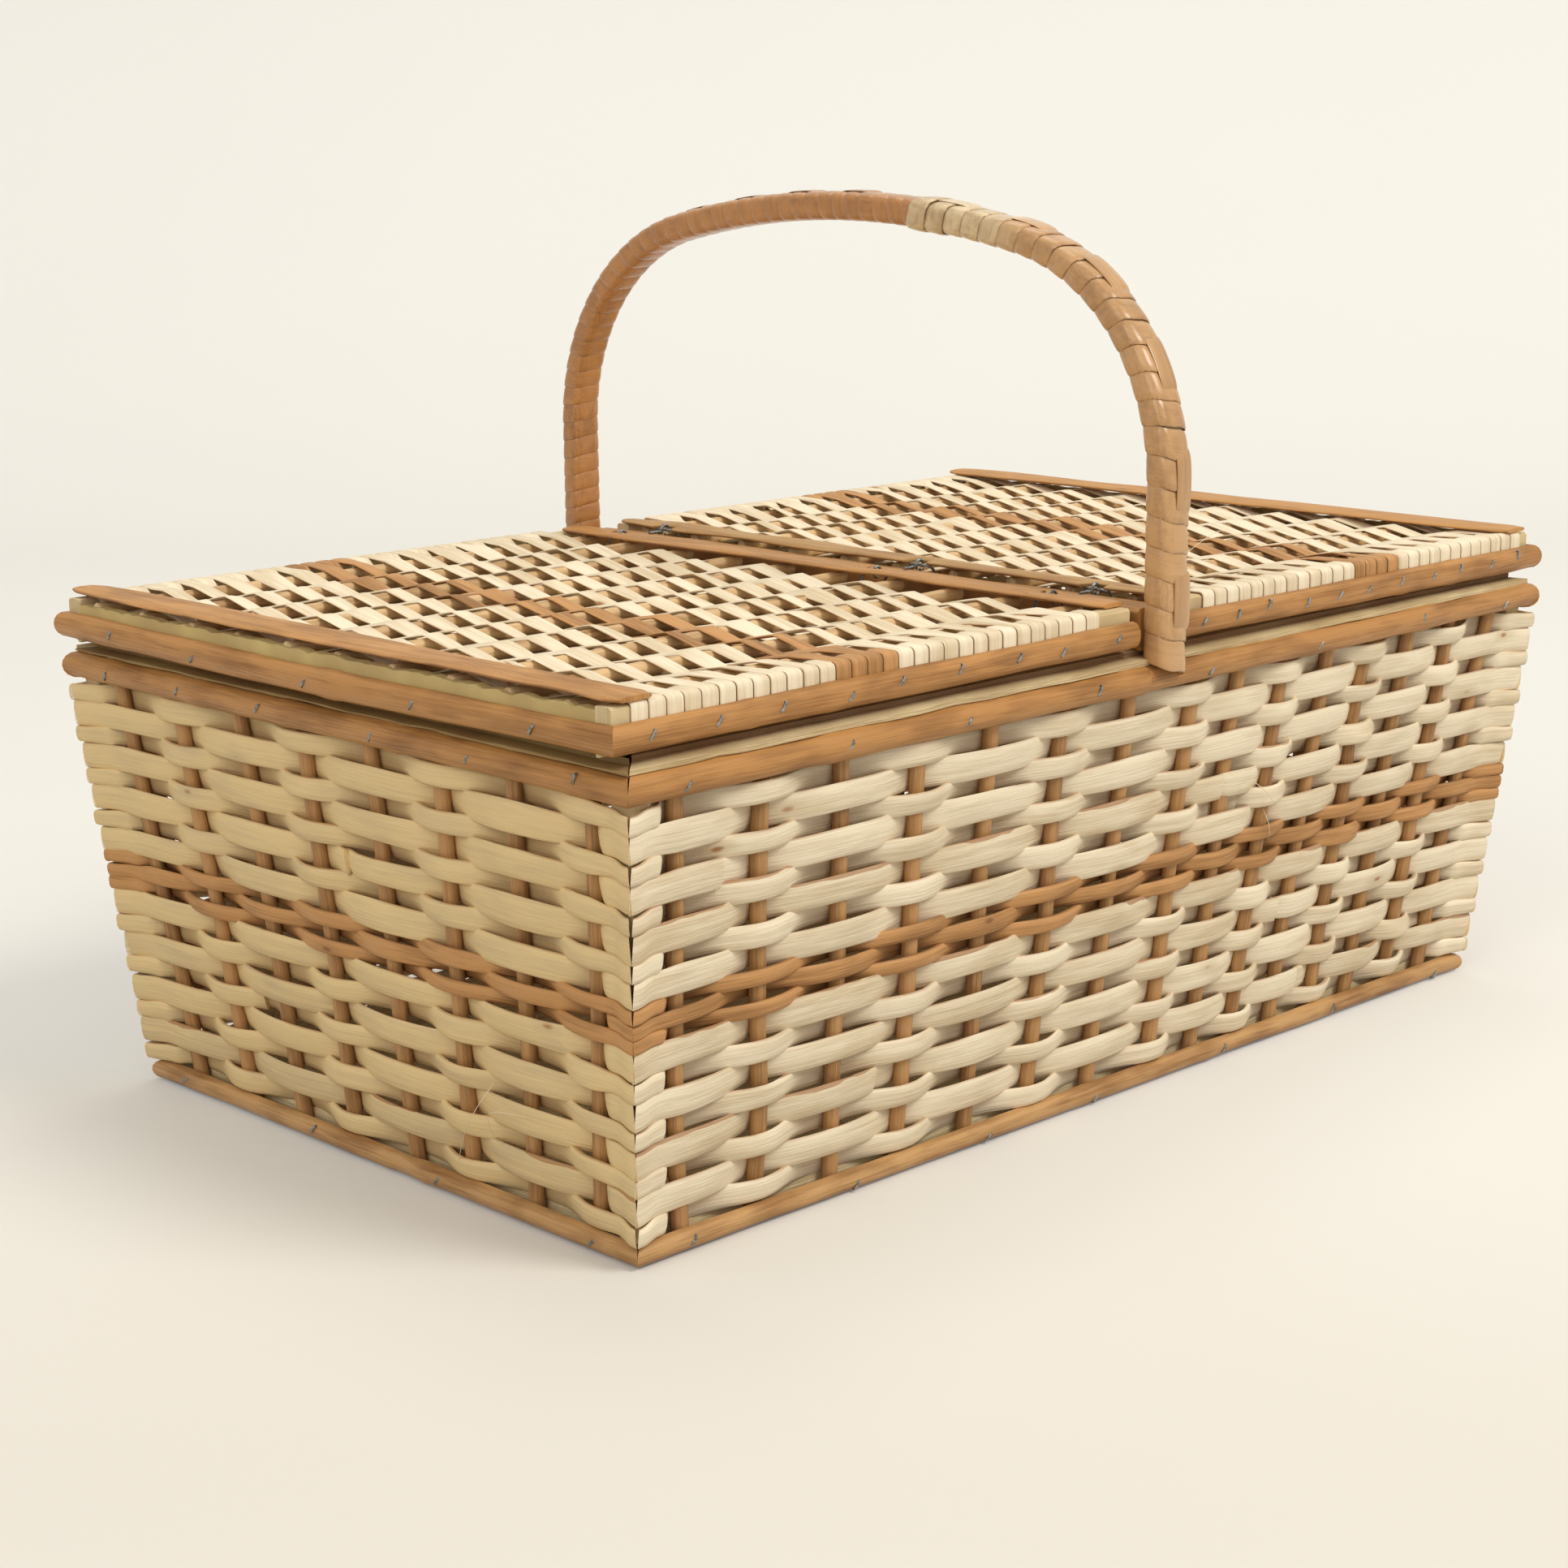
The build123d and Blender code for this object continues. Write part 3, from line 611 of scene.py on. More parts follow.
class Wall:
    """One leaning wall, seen as if it faced -Y. It turns what it makes to its own side."""

    def __init__(self, side):
        self.side = side
        self.long = side in ("front", "back")
        self.quarter = SIDES.index(side)
        self.near = wall_line(side)
        self.far = wall_line(SIDES[(self.quarter + 1) % 4])
        slope = math.hypot(1, self.near[1])
        self.up = np.array([0, -self.near[1], 1]) / slope
        self.out = np.array([0, -1, -self.near[1]]) / slope

    def half(self, z):
        return self.far[0] + self.far[1] * z

    def stakes(self, z):
        """Places of the stakes along the wall: the long walls have a wider pitch on one side."""
        edge = self.half(z) - END_STAKE_INSET
        if not self.long:
            return np.linspace(-edge, edge, END_WALL_STAKES)
        change = STAKE_PITCH_CHANGE * edge / (self.half(RIM_LEVEL) - END_STAKE_INSET)
        wide = np.linspace(-edge, change, WIDE_SIDE_STAKES, endpoint=False)
        return np.concatenate([wide, np.linspace(change, edge, NARROW_SIDE_STAKES + 1)])

    def point(self, along, out, z):
        """Points at these distances along the wall, out from the stakes' plane and up."""
        along, out, z = np.broadcast_arrays(np.asarray(along, float), out, z)
        return table(along, -(self.near[0] + self.near[1] * z), z) + out[..., None] * self.out

    def mitred(self, up, first=True, last=True):
        """Up directions whose first and last one lean out along the wall, so that the ends are mitred."""
        up = np.array(up)
        if first:
            up[0] = self.out - X
        if last:
            up[-1] = self.out + X
        return up


def row_levels():
    """Bottom, height and kind of every woven row, from the boxes of the CAD rows."""
    peeled, brown = span("weave_front_peeled"), span("weave_front_brown")
    brown_top = brown[1][2] + ROW_GAP
    runs = ((peeled[0][2], brown[0][2], LOWER_ROWS, "peeled"), (brown[0][2], brown_top, BROWN_ROWS, "brown"),
            (brown_top, peeled[1][2] + ROW_GAP, UPPER_ROWS, "peeled"))
    return [(low + (high - low) / count * i, (high - low) / count, kind)
            for low, high, count, kind in runs for i in range(count)]


def woven_row(shape, wall, number, low, pitch, kind):
    """One split of a wall, as a profile carried along a wave.

    The wave is half a cosine from each stake to the next, out over one stake and in behind the next one, and
    it lies flat on the corner posts. Its share of the way out is raised to a power, below one for the broad
    splits, which stay in front until they reach a stake, and above one for the narrow ones. Width, height and
    lean are eased between values drawn at the stakes. Past a join, the next split starts under the last one.
    """
    rng = draws("row", wall.side, number)
    middle = low + (pitch - ROW_GAP) / 2
    broad, brown = number % 2 == 1, kind == "brown"
    thickness = size("split_thickness") * (1.0 if broad else 1.35)
    over_width = size("wide_split" if broad else "narrow_split") * (0.97 + 0.06 * rng.random())
    under_width = over_width * (0.96 if broad else 1.16)
    if brown:
        over_width = size("brown_split") * (1.08 if broad else 0.95)
        under_width = over_width * 0.88
    places = wall.stakes(middle)
    count = len(places)
    over = (np.arange(count) + number) % 2 == 1
    bow = STAKE_RADIUS - ROOM + thickness / 2
    folds = [draws("corner", (wall.quarter + end) % 4, number).normal(0, 1, 3) for end in (0, 1)]
    corner = wall.half(middle) + bow + CORNER_SWELL
    post = wall.half(middle) + STAKE_RADIUS - POST_SIZE
    stations = np.concatenate([[-corner, -post], places, [post, corner]])

    def at_stations(at_stakes, first, last, post_share=1.0):
        inner = [stake * (1 - post_share) + end * post_share
                 for stake, end in ((at_stakes[0], first), (at_stakes[-1], last))]
        return np.concatenate([[first, inner[0]], at_stakes, [inner[1], last]])

    fold_out = [bow + 0.3 * fold[0] + CORNER_SWELL for fold in folds]
    out = at_stations(np.where(over, bow + rng.normal(0.1, 0.12, count), -bow), *fold_out)
    out[1], out[-2] = bow, bow
    block = pitch - 0.15 + (0.0 if brown else 1.5 if broad else -1.5)
    block = [block + 0.2 * fold[1] for fold in folds]
    width = at_stations(np.where(over, over_width, under_width) * rng.normal(1, 0.045, count), *block, 0.7)
    sag = np.where(over, 0.2 if broad else 0.0, -0.9 if broad else -1.15)
    level = at_stations(sag + rng.normal(0, 0.22, count), *[0.2 * fold[2] for fold in folds])
    lean = at_stations(np.radians(rng.normal(4, 3 if broad else 8, count)), 0, 0)
    hold = 1.0 if brown else 0.5 if broad else 1.7
    aged = 0.0 if wall.long else 0.85
    tone = rng.random()

    cuts = [join[2:] for join in ROW_JOINS if join[:2] == (wall.side, number)]
    ends = [-corner] + [places[i] + share * (places[i + 1] - places[i]) for i, share in cuts] + [corner]
    along = sampled(stations)
    for part, (start, stop) in enumerate(zip(ends[:-1], ends[1:])):
        tuck = 9.0 if part else 0.0
        x = along[(along > start - tuck + 0.5) & (along < stop - 0.5)]
        x = np.concatenate([[start - tuck], x, [stop]])
        share = (through(stations, out, x) + bow) / (2 * bow)
        offset = bow * (2 * np.where(share < 1, np.maximum(share, 0) ** hold, share) - 1)
        breadth = through(stations, width, x)
        if part:
            offset = offset - (thickness + 0.25) * (1 - eased(np.clip((x - start) / 7, 0, 1)))
            breadth = breadth * (0.8 + 0.2 * np.clip((x - start + 2) / 6, 0, 1))
        centre = wall.point(x, offset, middle + through(stations, level, x))
        turn = through(stations, lean, x)[:, None]
        side = wall.up * np.cos(turn) + wall.out * np.sin(turn)
        up = unit(np.cross(unit(np.gradient(centre, axis=0)), side))
        up = wall.mitred(up, part == 0, part == len(ends) - 2)
        # Painted shade: where the split lies behind a stake, its colour darkens towards bark the deeper it
        # goes.
        shape.tube(centre, side, up, split_profile(breadth, thickness, 0.22), (tone + 0.37 * part) % 1,
                   np.clip(-offset / bow, 0, 1), aged, rng.random() * GRAIN_LENGTH)


def weave_walls():
    for side in SIDES:
        wall = Wall(side)
        for kind, slot in (("peeled", "peeled_willow"), ("brown", "unpeeled_willow")):
            shape = Shape()
            for number, (low, pitch, row_kind) in enumerate(row_levels()):
                if row_kind == kind:
                    woven_row(shape, wall, number, low, pitch, kind)
            shape.turned(wall.quarter).made(f"{side}_wall_{kind}_rows", "root", slot, f"weave_{side}_{kind}")


def set_stakes():
    """Each stake is an oval rod carried up the wall, whose radius and place drift slowly."""
    for side in SIDES:
        wall, shape = Wall(side), Shape()
        low, high = span(f"stakes_{side}")
        for i, (foot, top) in enumerate(zip(wall.stakes(low[2]), wall.stakes(high[2]))):
            rng = draws("stake", side, i)
            z = np.linspace(low[2], high[2], 30)
            along = foot + (top - foot) * (z - low[2]) / (high[2] - low[2])
            centre = wall.point(along + wander(rng, z, 38, 0.55), wander(rng, z, 30, 0.12), z)
            radius = STAKE_RADIUS * (0.97 + wander(rng, z, 14, 0.035))
            # Painted shade: every stake takes 0.6 of the shade mark all along, so the stakes come out darker
            # than the lid rods.
            shape.grown(rng, centre, X, wall.out, round_profile(radius * 1.17, 12, 0.8), 0.6)
        shape.turned(wall.quarter).made(f"{side}_wall_stakes", "root", "willow_rod", f"stakes_{side}")


def wall_band(shape, wall, node, depth, wave, worn, cuts):
    """A split rod along a wall, mitred at the corners, in as many lengths as its joins ask for.

    Its height over the wall drifts slowly, and its section swells a little, most at three knots.
    """
    rng = draws(node)
    low, high = span(node)
    bottom, height = low[2] + 0.1, high[2] - low[2] - 0.2
    seat = STAKE_RADIUS + ROOM
    half = wall.half(bottom + height / 2) + seat
    ends = [-half, *cuts, half]
    for part, (start, stop) in enumerate(zip(ends[:-1], ends[1:])):
        x = np.linspace(start + (0.35 if part else 0.0), stop, max(24, int((stop - start) / 4)))
        lift = wander(rng, x, 60, wave) + (0.35 if part % 2 else 0.0)
        swell = 1 + wander(rng, x, 22, 0.03)
        swell += sum(np.exp(-((x - knot) / 3.2) ** 2) * 0.09 for knot in rng.uniform(start, stop, 3))
        ease = 1.0 if part else np.clip((x - start) / 12, 0, 1)
        up = wall.mitred(np.tile(wall.out, (len(x), 1)), part == 0, part == len(ends) - 2)
        centre = wall.point(x, seat, bottom + height / 2 + lift * ease)
        shape.grown(rng, centre, wall.up, up, half_round_profile(height * swell, depth * swell), 0.0, worn)


def fit_wall_bands():
    kinds = (("rim", RIM_BAND_DEPTH, 0.22, 0.0), ("foot", FOOT_BAND_DEPTH, 0.1, 0.45))
    for side in SIDES:
        wall = Wall(side)
        for place, depth, wave, worn in kinds:
            node, shape = f"{place}_band_{side}", Shape()
            cuts = [FRONT_RIM_JOIN] if node == "rim_band_front" else []
            wall_band(shape, wall, node, depth, wave, worn, cuts)
            shape.turned(wall.quarter).made(f"{node}_rod", "root", "willow_band", node)


def rim_batten(wall):
    """A board inside the stakes with a thin uneven lath on top, which reaches out over the rim band."""
    node = f"rim_batten_{wall.side}"
    low, high = span(node)
    half = wall.half((low[2] + high[2]) / 2)
    x = np.linspace(-half, half, 60)
    rng = draws(node)
    lath_out = STAKE_RADIUS + 1.0 + wander(rng, x, 9, 0.25)
    lath_low = high[2] - 3.3 + wander(rng, x, 14, 0.1)
    lath_top = high[2] - (1.5 if wall.long else 2.6) + wander(draws(node, "brim"), x, 12, 0.12)
    top = high[2] - (0.05 if wall.long else 0.8)
    seat = -(STAKE_RADIUS + ROOM)
    inner = seat - RIM_BATTEN_DEPTH
    outline = ((low[2], inner), (low[2], seat), (lath_low, seat), (lath_low, lath_out), (lath_top, lath_out),
               (lath_top, seat + 0.6), (top, seat + 0.6), (top, inner))
    profile = np.stack([table(*corner, x)[:, :2] for corner in outline], 1)
    shaded = np.array([[0, 0, 0, 0, 0, 0.8, 0.8, 0]]) if wall.long else 0.6
    aged = 0.0 if wall.long else 0.8
    up = wall.mitred(np.tile(wall.out, (len(x), 1)))
    shape = Shape()
    shape.grown(rng, wall.point(x, 0, 0), wall.up / wall.up[2], up, profile, shaded, aged)
    shape.turned(wall.quarter).made(f"{node}_board", "root", "pine_batten", node)


def fit_wall_battens():
    """Battens behind the rim, posts in the corners and the boards of the base."""
    walls = [Wall(side) for side in SIDES]
    for wall in walls:
        rim_batten(wall)

    shape = Shape()
    low, high = span("corner_posts")
    lines = np.array([walls[0].far, walls[0].near])
    heights = (low[2], high[2] - POST_SIZE / 2)
    reach = [lines[:, 0] + lines[:, 1] * z + STAKE_RADIUS - POST_SIZE / 2 for z in heights]
    for i, signs in enumerate(((-1, -1), (1, -1), (1, 1), (-1, 1))):
        foot, top = ([*(signs * place), z] for place, z in zip(reach, heights))
        shape.plank(draws("post", i), foot, top, X, Y, POST_SIZE, POST_SIZE, warp=0.0)
    shape.made("corner_post_boards", "root", "pine_batten", "corner_posts")

    shape = Shape()
    frame_top = span("base_frame")[1][2]
    for wall in walls:
        room = POST_SIZE - STAKE_RADIUS if wall.long else STAKE_RADIUS + 2 * ROOM + BASE_FRAME_DEPTH
        half = wall.half(0) - room
        out = -(STAKE_RADIUS + ROOM + BASE_FRAME_DEPTH / 2)
        one = Shape()
        one.plank(draws("base", wall.side), wall.point(-half, out, frame_top / 2),
                  wall.point(half, out, frame_top / 2), Z, Y, frame_top, BASE_FRAME_DEPTH, warp=0.0)
        shape.take(one.turned(wall.quarter))
    shape.made("base_frame_boards", "root", "pine_batten", "base_frame")

    for node, count, axis, width in (("base_cross_battens", 3, 0, 14.0), ("base_slats", 8, 1, None)):
        low, high = span(node)
        room = high[axis] - low[axis]
        width = width or (room + 2.0) / count - 2.0
        shape = Shape()
        for i in range(count):
            ends = np.array([low, high], float)
            ends[:, axis] = low[axis] + width / 2 + (room - width) * i / (count - 1)
            ends[:, 2] = (low[2] + high[2]) / 2
            shape.plank(draws(node, i), *ends, np.eye(3)[axis], Z, width, high[2] - low[2], warp=0.0)
        shape.made(f"{node}_boards", "root", "pine_batten", node)


# Middle bar and hinges

def rod_places():
    low, high = span("left_lid_front_batten")[1][1], span("left_lid_back_batten")[0][1]
    return np.linspace(low + FRONT_ROD_ROOM, high - BACK_ROD_ROOM, RODS)


def hinge_places():
    """Places of the hinges along Y, between the rods of the lids."""
    rods = rod_places()
    return [(rods[i] + rods[i + 1]) / 2 for i in (0, 3, 8)]


def fit_middle():
    """The bar, and the wire eyes on it: each is three quarters of a ring and a tail flat on the bar."""
    low, high = span("middle_bar")
    middle, extent = (low + high) / 2, high - low
    shape = Shape()
    shape.plank(draws("bar"), (middle[0], low[1], middle[2]), (middle[0], high[1], middle[2]), X, Z,
                extent[0], extent[2], 0.15, 0.1, edge=1.5)
    shape.made("middle_bar_board", "root", "willow_strip", "middle_bar")

    eyes = Shape()
    turn = np.linspace(-0.5, 1.35, 22)[:-2] * np.pi
    for axis, side in zip(HINGE_AXES.values(), (-1, 1)):
        for y in hinge_places():
            ring = table(axis + side * EYE_RADIUS * np.cos(turn), y, AXIS_HEIGHT + EYE_RADIUS * np.sin(turn))
            tail = table(axis - side * np.array([EYE_RADIUS + 0.9, 4.5, 7.5]), y, high[2] + WIRE_RADIUS)
            eyes.wire(np.concatenate([ring, tail]), Y, 0.5)
    eyes.made("hinge_eye_wires", "root", "hinge_wire", "hinge_eyes")


# Lids

class Lid:
    """One lid: which side it is on, and what the CAD boxes say about it."""

    def __init__(self, name):
        self.name = name
        self.side = -1 if name == "left_lid" else 1
        self.inner, self.hinge_inner = self.reach("hinge_batten")
        self.end_inner, self.outer = self.reach("end_batten")
        self.bottom, self.batten_top = (corner[2] for corner in span(f"{name}_hinge_batten"))
        low, high = span(f"{name}_front_batten")
        self.face, self.batten_inner = -low[1], -high[1]
        self.crest = high[2] + CREST_RISE
        self.rod_height = sum(corner[2] for corner in span(f"{name}_rods")) / 2

    def reach(self, part):
        """Least and greatest distance of a part from the middle along X."""
        return sorted(abs(corner[0]) for corner in span(f"{self.name}_{part}"))

    def x(self, out):
        """X of a distance that grows away from the middle of the basket."""
        return self.side * np.asarray(out, float)


def lid_split(shape, lid, number, out, brown, pressed):
    """One split of a lid, as a profile carried along a wave across the lid.

    It starts outside the side batten, folds over it, runs nearly straight from over each rod to under the
    next, with a share of half a cosine that rounds the turns, and folds down again at the back.
    """
    rng = draws("split", lid.name, number)
    thickness = LID_SPLIT_THICKNESS
    rods = rod_places()
    over = (np.arange(RODS) + number) % 2 == 1
    bow = ROD_RADIUS + 0.05 + thickness / 2
    tab = lid.face + ROOM + thickness / 2
    top = lid.crest + ROOM + thickness / 2 - (0.4 if pressed else 0.0)
    foot = lid.bottom + 2.6 + rng.uniform(0, 0.6, 2)
    fold = np.array([[0, 0], [0, 4.5], [0, 10.6], [0.1, 11.6], [0.5, 12.2], [1.3, 12.5],
                     [6.55, top - TAB_FOOT]])
    fold[:, 1] += TAB_FOOT
    front = table(fold[:, 0] - tab, fold[:, 1])
    back = table(tab - fold[::-1, 0], fold[::-1, 1])
    front[0, 1], back[-1, 1] = foot
    stations = np.concatenate([[-lid.batten_inner], rods, [lid.batten_inner]])
    heights = lid.rod_height + np.where(over, bow + rng.uniform(0, 0.25, RODS), -bow)
    heights = np.concatenate([[top], np.minimum(heights, top) if pressed else heights, [top]])
    y = sampled(stations)[1:-1]
    z = 0.1 * through(stations, heights, y) + 0.9 * np.interp(y, stations, heights)
    path = np.concatenate([front, table(y, z), back])

    def from_tab_to_tab(at_tabs, at_rods):
        """Values at the rods eased along the split, and one value on both folds."""
        ends = np.full(len(front), at_tabs)
        values = np.concatenate([[at_tabs], at_rods, [at_tabs]])
        return np.concatenate([ends, through(stations, values, y), ends])

    over_width = size("lid_split") * (0.96 if brown else 1.0)
    widths = np.where(over, over_width, over_width * 0.86) * rng.normal(1, 0.06, RODS)
    broad = from_tab_to_tab(SPLIT_PITCH - 0.38, widths)
    shift = from_tab_to_tab(0.0, rng.normal(0, 0.4, RODS))
    lean = from_tab_to_tab(0.0, np.radians(rng.normal(0, 6, RODS)))[:, None]
    centre = table(lid.x(out) + shift, path[:, 0], path[:, 1])
    direction = unit(np.gradient(centre, axis=0))
    side = X * np.cos(lean) + unit(np.cross(X, direction)) * np.sin(lean)
    # Painted shade: the split darkens where it dips under a rod, and at its tab ends low under the band.
    under_shade = np.clip((lid.rod_height - centre[:, 2]) / bow, 0, 1) * (np.abs(centre[:, 1]) < lid.batten_inner)
    under_shade = np.maximum(under_shade, np.clip((lid.bottom + 3.2 - centre[:, 2]) / 0.8, 0, 1))
    profile = split_profile(broad, thickness, 0.15)
    shape.grown(rng, centre, side, unit(np.cross(side, direction)), profile, under_shade)


def weave_lid(lid):
    room = lid.reach("end_strip")[0] - lid.hinge_inner - 0.8
    count = int(room / SPLIT_PITCH)
    start = lid.hinge_inner + 0.4 + (room - count * SPLIT_PITCH) / 2 + (SPLIT_PITCH - 0.4) / 2
    brown = range(count - BROWN_FROM_END, count - BROWN_FROM_END + BROWN_SPLITS)
    shapes = {"peeled": Shape(), "brown": Shape()}
    for number in range(count + SPLITS_UNDER_STRIP):
        kind = "brown" if number in brown else "peeled"
        lid_split(shapes[kind], lid, number, start + SPLIT_PITCH * number, kind == "brown", number >= count)
    for kind, slot in (("peeled", "peeled_willow"), ("brown", "unpeeled_willow")):
        shapes[kind].made(f"{lid.name}_{kind}_splits", lid.name, slot, f"{lid.name}_weave_{kind}")


def fit_lid_rods(lid):
    """Round rods along the lid, whose pale cut ends reach out under the end strip."""
    low, high = (corner[0] for corner in span(f"{lid.name}_rods"))
    shape = Shape()
    inward = np.array([0, 0.3, 1, 2.4, 3.4])
    x = np.concatenate([low + inward, np.linspace(low + 5, high - 5, 42), high - inward[::-1]])
    from_end = np.minimum(x - low, high - x)
    for i, y in enumerate(rod_places()):
        rng = draws("rod", lid.name, i)
        radius = ROD_RADIUS * np.minimum(1, 0.86 + 0.5 * from_end) * (0.96 + wander(rng, x, 16, 0.03))
        centre = table(x, y + wander(rng, x, 45, 0.5), lid.rod_height + wander(rng, x, 40, 0.08))
        # The cut ends take the pale aged colour fully, which is the wood's own; the rest of each rod takes
        # 0.6 of it as painted light.
        shape.grown(rng, centre, Y, Z, round_profile(radius), 0.0, np.where(from_end < 3, 1.0, 0.6))
    shape.made(f"{lid.name}_round_rods", lid.name, "willow_rod", f"{lid.name}_rods")


def fit_lid_battens(lid):
    """The side battens have a ridge for the splits' folds, and the end one a stepped and uneven ridge."""
    def board(part, shape):
        shape.made(f"{lid.name}_{part}_batten_board", lid.name, "pine_batten", f"{lid.name}_{part}_batten")

    a = (lid.face - lid.batten_inner) / 2
    height, bevel = lid.crest - lid.bottom, 0.8
    section = np.array([[a, 3.4], [a, height - bevel], [a - bevel, height - 0.1], [0.4 - a, height - 0.1],
                        [-a, height - 0.5], [-a, 0.3], [0.3 - a, 0], [a - 4.5, 0]])
    # Painted shade on the outer face's lower part and the bottom, which sit in the dark gap under the band.
    painted_shade = np.array([[0.5, 0, 0, 0, 0, 0, 0.1, 0.3]])
    for part, sign in (("front", -1), ("back", 1)):
        node = f"{lid.name}_{part}_batten"
        low, high = span(node)
        along = low[0] + (high[0] - low[0]) * np.linspace(0, 1, 36)
        centre = table(along, sign * (lid.face + lid.batten_inner) / 2, lid.bottom)
        shape = Shape()
        shape.grown(draws(node), centre, sign * Y, Z, section, painted_shade)
        board(part, shape)

    shape = Shape()
    ends = [(lid.x((lid.inner + lid.hinge_inner) / 2), y, (lid.bottom + lid.batten_top) / 2)
            for y in (-lid.batten_inner, lid.batten_inner)]
    shape.plank(draws(f"{lid.name}_hinge_batten"), *ends, X, Z, lid.hinge_inner - lid.inner,
                lid.batten_top - lid.bottom, 0.0, 0.05)
    board("hinge", shape)

    rng = draws(f"{lid.name}_end_batten")
    y = np.linspace(-lid.batten_inner, lid.batten_inner, 180)
    ridge = lid.batten_top + END_BATTEN_RISE + wander(rng, y, 3, 0.22) + wander(rng, y, 40, 0.15)
    corners = ((lid.end_inner, lid.bottom), (lid.end_inner, lid.batten_top),
               (lid.outer - 3.1, lid.batten_top), (lid.outer - 2.9, ridge), (lid.outer, ridge - 0.2),
               (lid.outer, lid.bottom + 3.4), (lid.outer - 4.5, lid.bottom))
    profile = np.stack([table(*corner, y)[:, :2] for corner in corners], 1)
    # Painted shade on the lower outer face, the chamfer and the bottom edge of the end batten.
    painted_shade = np.array([[0.1, 0, 0, 0, 0, 0.5, 0.3]])
    shape = Shape()
    shape.grown(rng, table(0.0, y, 0.0), lid.side * X, Z, profile, painted_shade, 0.9)
    board("end", shape)


def fit_lid_strips(lid):
    """Flat strips over the rods' ends and over the hinge side, whose edges and height drift.

    The strip by the bar steps back from the bar at each hinge, where the wire comes up.
    """
    for place in ("end", "hinge"):
        node = f"{lid.name}_{place}_strip"
        low, high = span(node)
        rng = draws(node)
        at_end = place == "end"
        raised = not at_end and lid.side == 1
        near_end, far_end = (-127.5, 130.5) if at_end else (-123.0, 123.0)
        y = np.linspace(near_end, far_end, 150)
        inner, outer = lid.reach(f"{place}_strip")
        inner = inner + wander(rng, y, 30, 0.3)
        outer = outer + wander(rng, y, 24, 0.45) + (3.0 if at_end else 0.0)
        if not at_end:
            beside = np.abs(y[:, None] - np.array(hinge_places())).min(axis=1)
            inner = inner + HINGE_NOTCH * (beside < 4)
        taper = np.clip(0.7 + 0.06 * np.minimum(y - near_end, far_end - y), 0, 1)
        drift = 0.5 * wander(rng, y, 26, 0.4 if raised else 0.12)
        z = (low[2] + high[2]) / 2 + (0.7 if at_end else 0.1) + drift
        z = np.minimum(z, high[2] - (0.1 if at_end else 0.75))
        lean = np.radians(wander(rng, y, 34, 3.0 if raised else 1.0))[:, None]
        side, up = X * np.cos(lean) + Z * np.sin(lean), Z * np.cos(lean) - X * np.sin(lean)
        profile = split_profile((outer - inner) * taper, 1.2, 0.2)
        centre = table(lid.x((inner + outer) / 2), y, z)
        shape = Shape()
        shape.grown(rng, centre, side, up, profile, 0.0, 0.75 if raised else 0.1)
        shape.made(f"{node}_split", lid.name, "willow_strip", node)


def side_drop(t):
    """How far a lid's long bands hang below the CAD ones, from the bar at 0 to the corner at 1."""
    return 0.8 + 0.5 * eased(t)


def end_drop(t):
    """How far a lid's end band hangs below the CAD one: it sags as half a sine wave from corner to corner."""
    return 1.3 + np.sin(np.pi * t)


def fit_lid_bands(lid):
    """Split rods round the lid's front, end and back, mitred at its two outer corners."""
    low, high = span(f"{lid.name}_end_band")
    depth, height, middle = high[0] - low[0], high[2] - low[2], (low[2] + high[2]) / 2
    outer, half = lid.reach("end_band")[1] - depth, high[1] - depth
    runs = (("front", (lid.inner, -half), (outer, -half), (0, -1)),
            ("back", (lid.inner, half), (outer, half), (0, 1)),
            ("end", (outer, -half), (outer, half), (1, 0)))
    for place, start, stop, outward in runs:
        node = f"{lid.name}_{place}_band"
        rng = draws(node)
        start, stop = np.array(start, float), np.array(stop, float)
        run = np.linalg.norm(stop - start)
        direction = (stop - start) / run
        at = np.linspace(0, run, int(run / 4))
        plan = start + direction * at[:, None]
        swell = wander(rng, at, 24, 0.025)
        swell += sum(np.exp(-((at - knot) / 3) ** 2) * 0.07 for knot in rng.uniform(15, run - 15, 2))
        lift = wander(rng, at, 70, 0.15) * np.clip(np.minimum(at, run - at) / 12, 0, 1)
        drop = (end_drop if place == "end" else side_drop)(at / run)
        centre = table(lid.x(plan[:, 0]), plan[:, 1], middle + lift - drop)
        out, ahead = (np.array([lid.side * given[0], given[1], 0], float) for given in (outward, direction))
        up = np.tile(out, (len(at), 1))
        up[-1] = out + ahead
        if place == "end":
            up[0] = out - ahead
        profile = half_round_profile(height * (0.985 + swell), (depth - 0.1) * (0.97 + swell))
        profile[..., 1] = np.minimum(profile[..., 1], depth - 0.02)
        shape = Shape()
        shape.grown(rng, centre, Z, up, profile)
        shape.made(f"{node}_rod", lid.name, "willow_band", node)


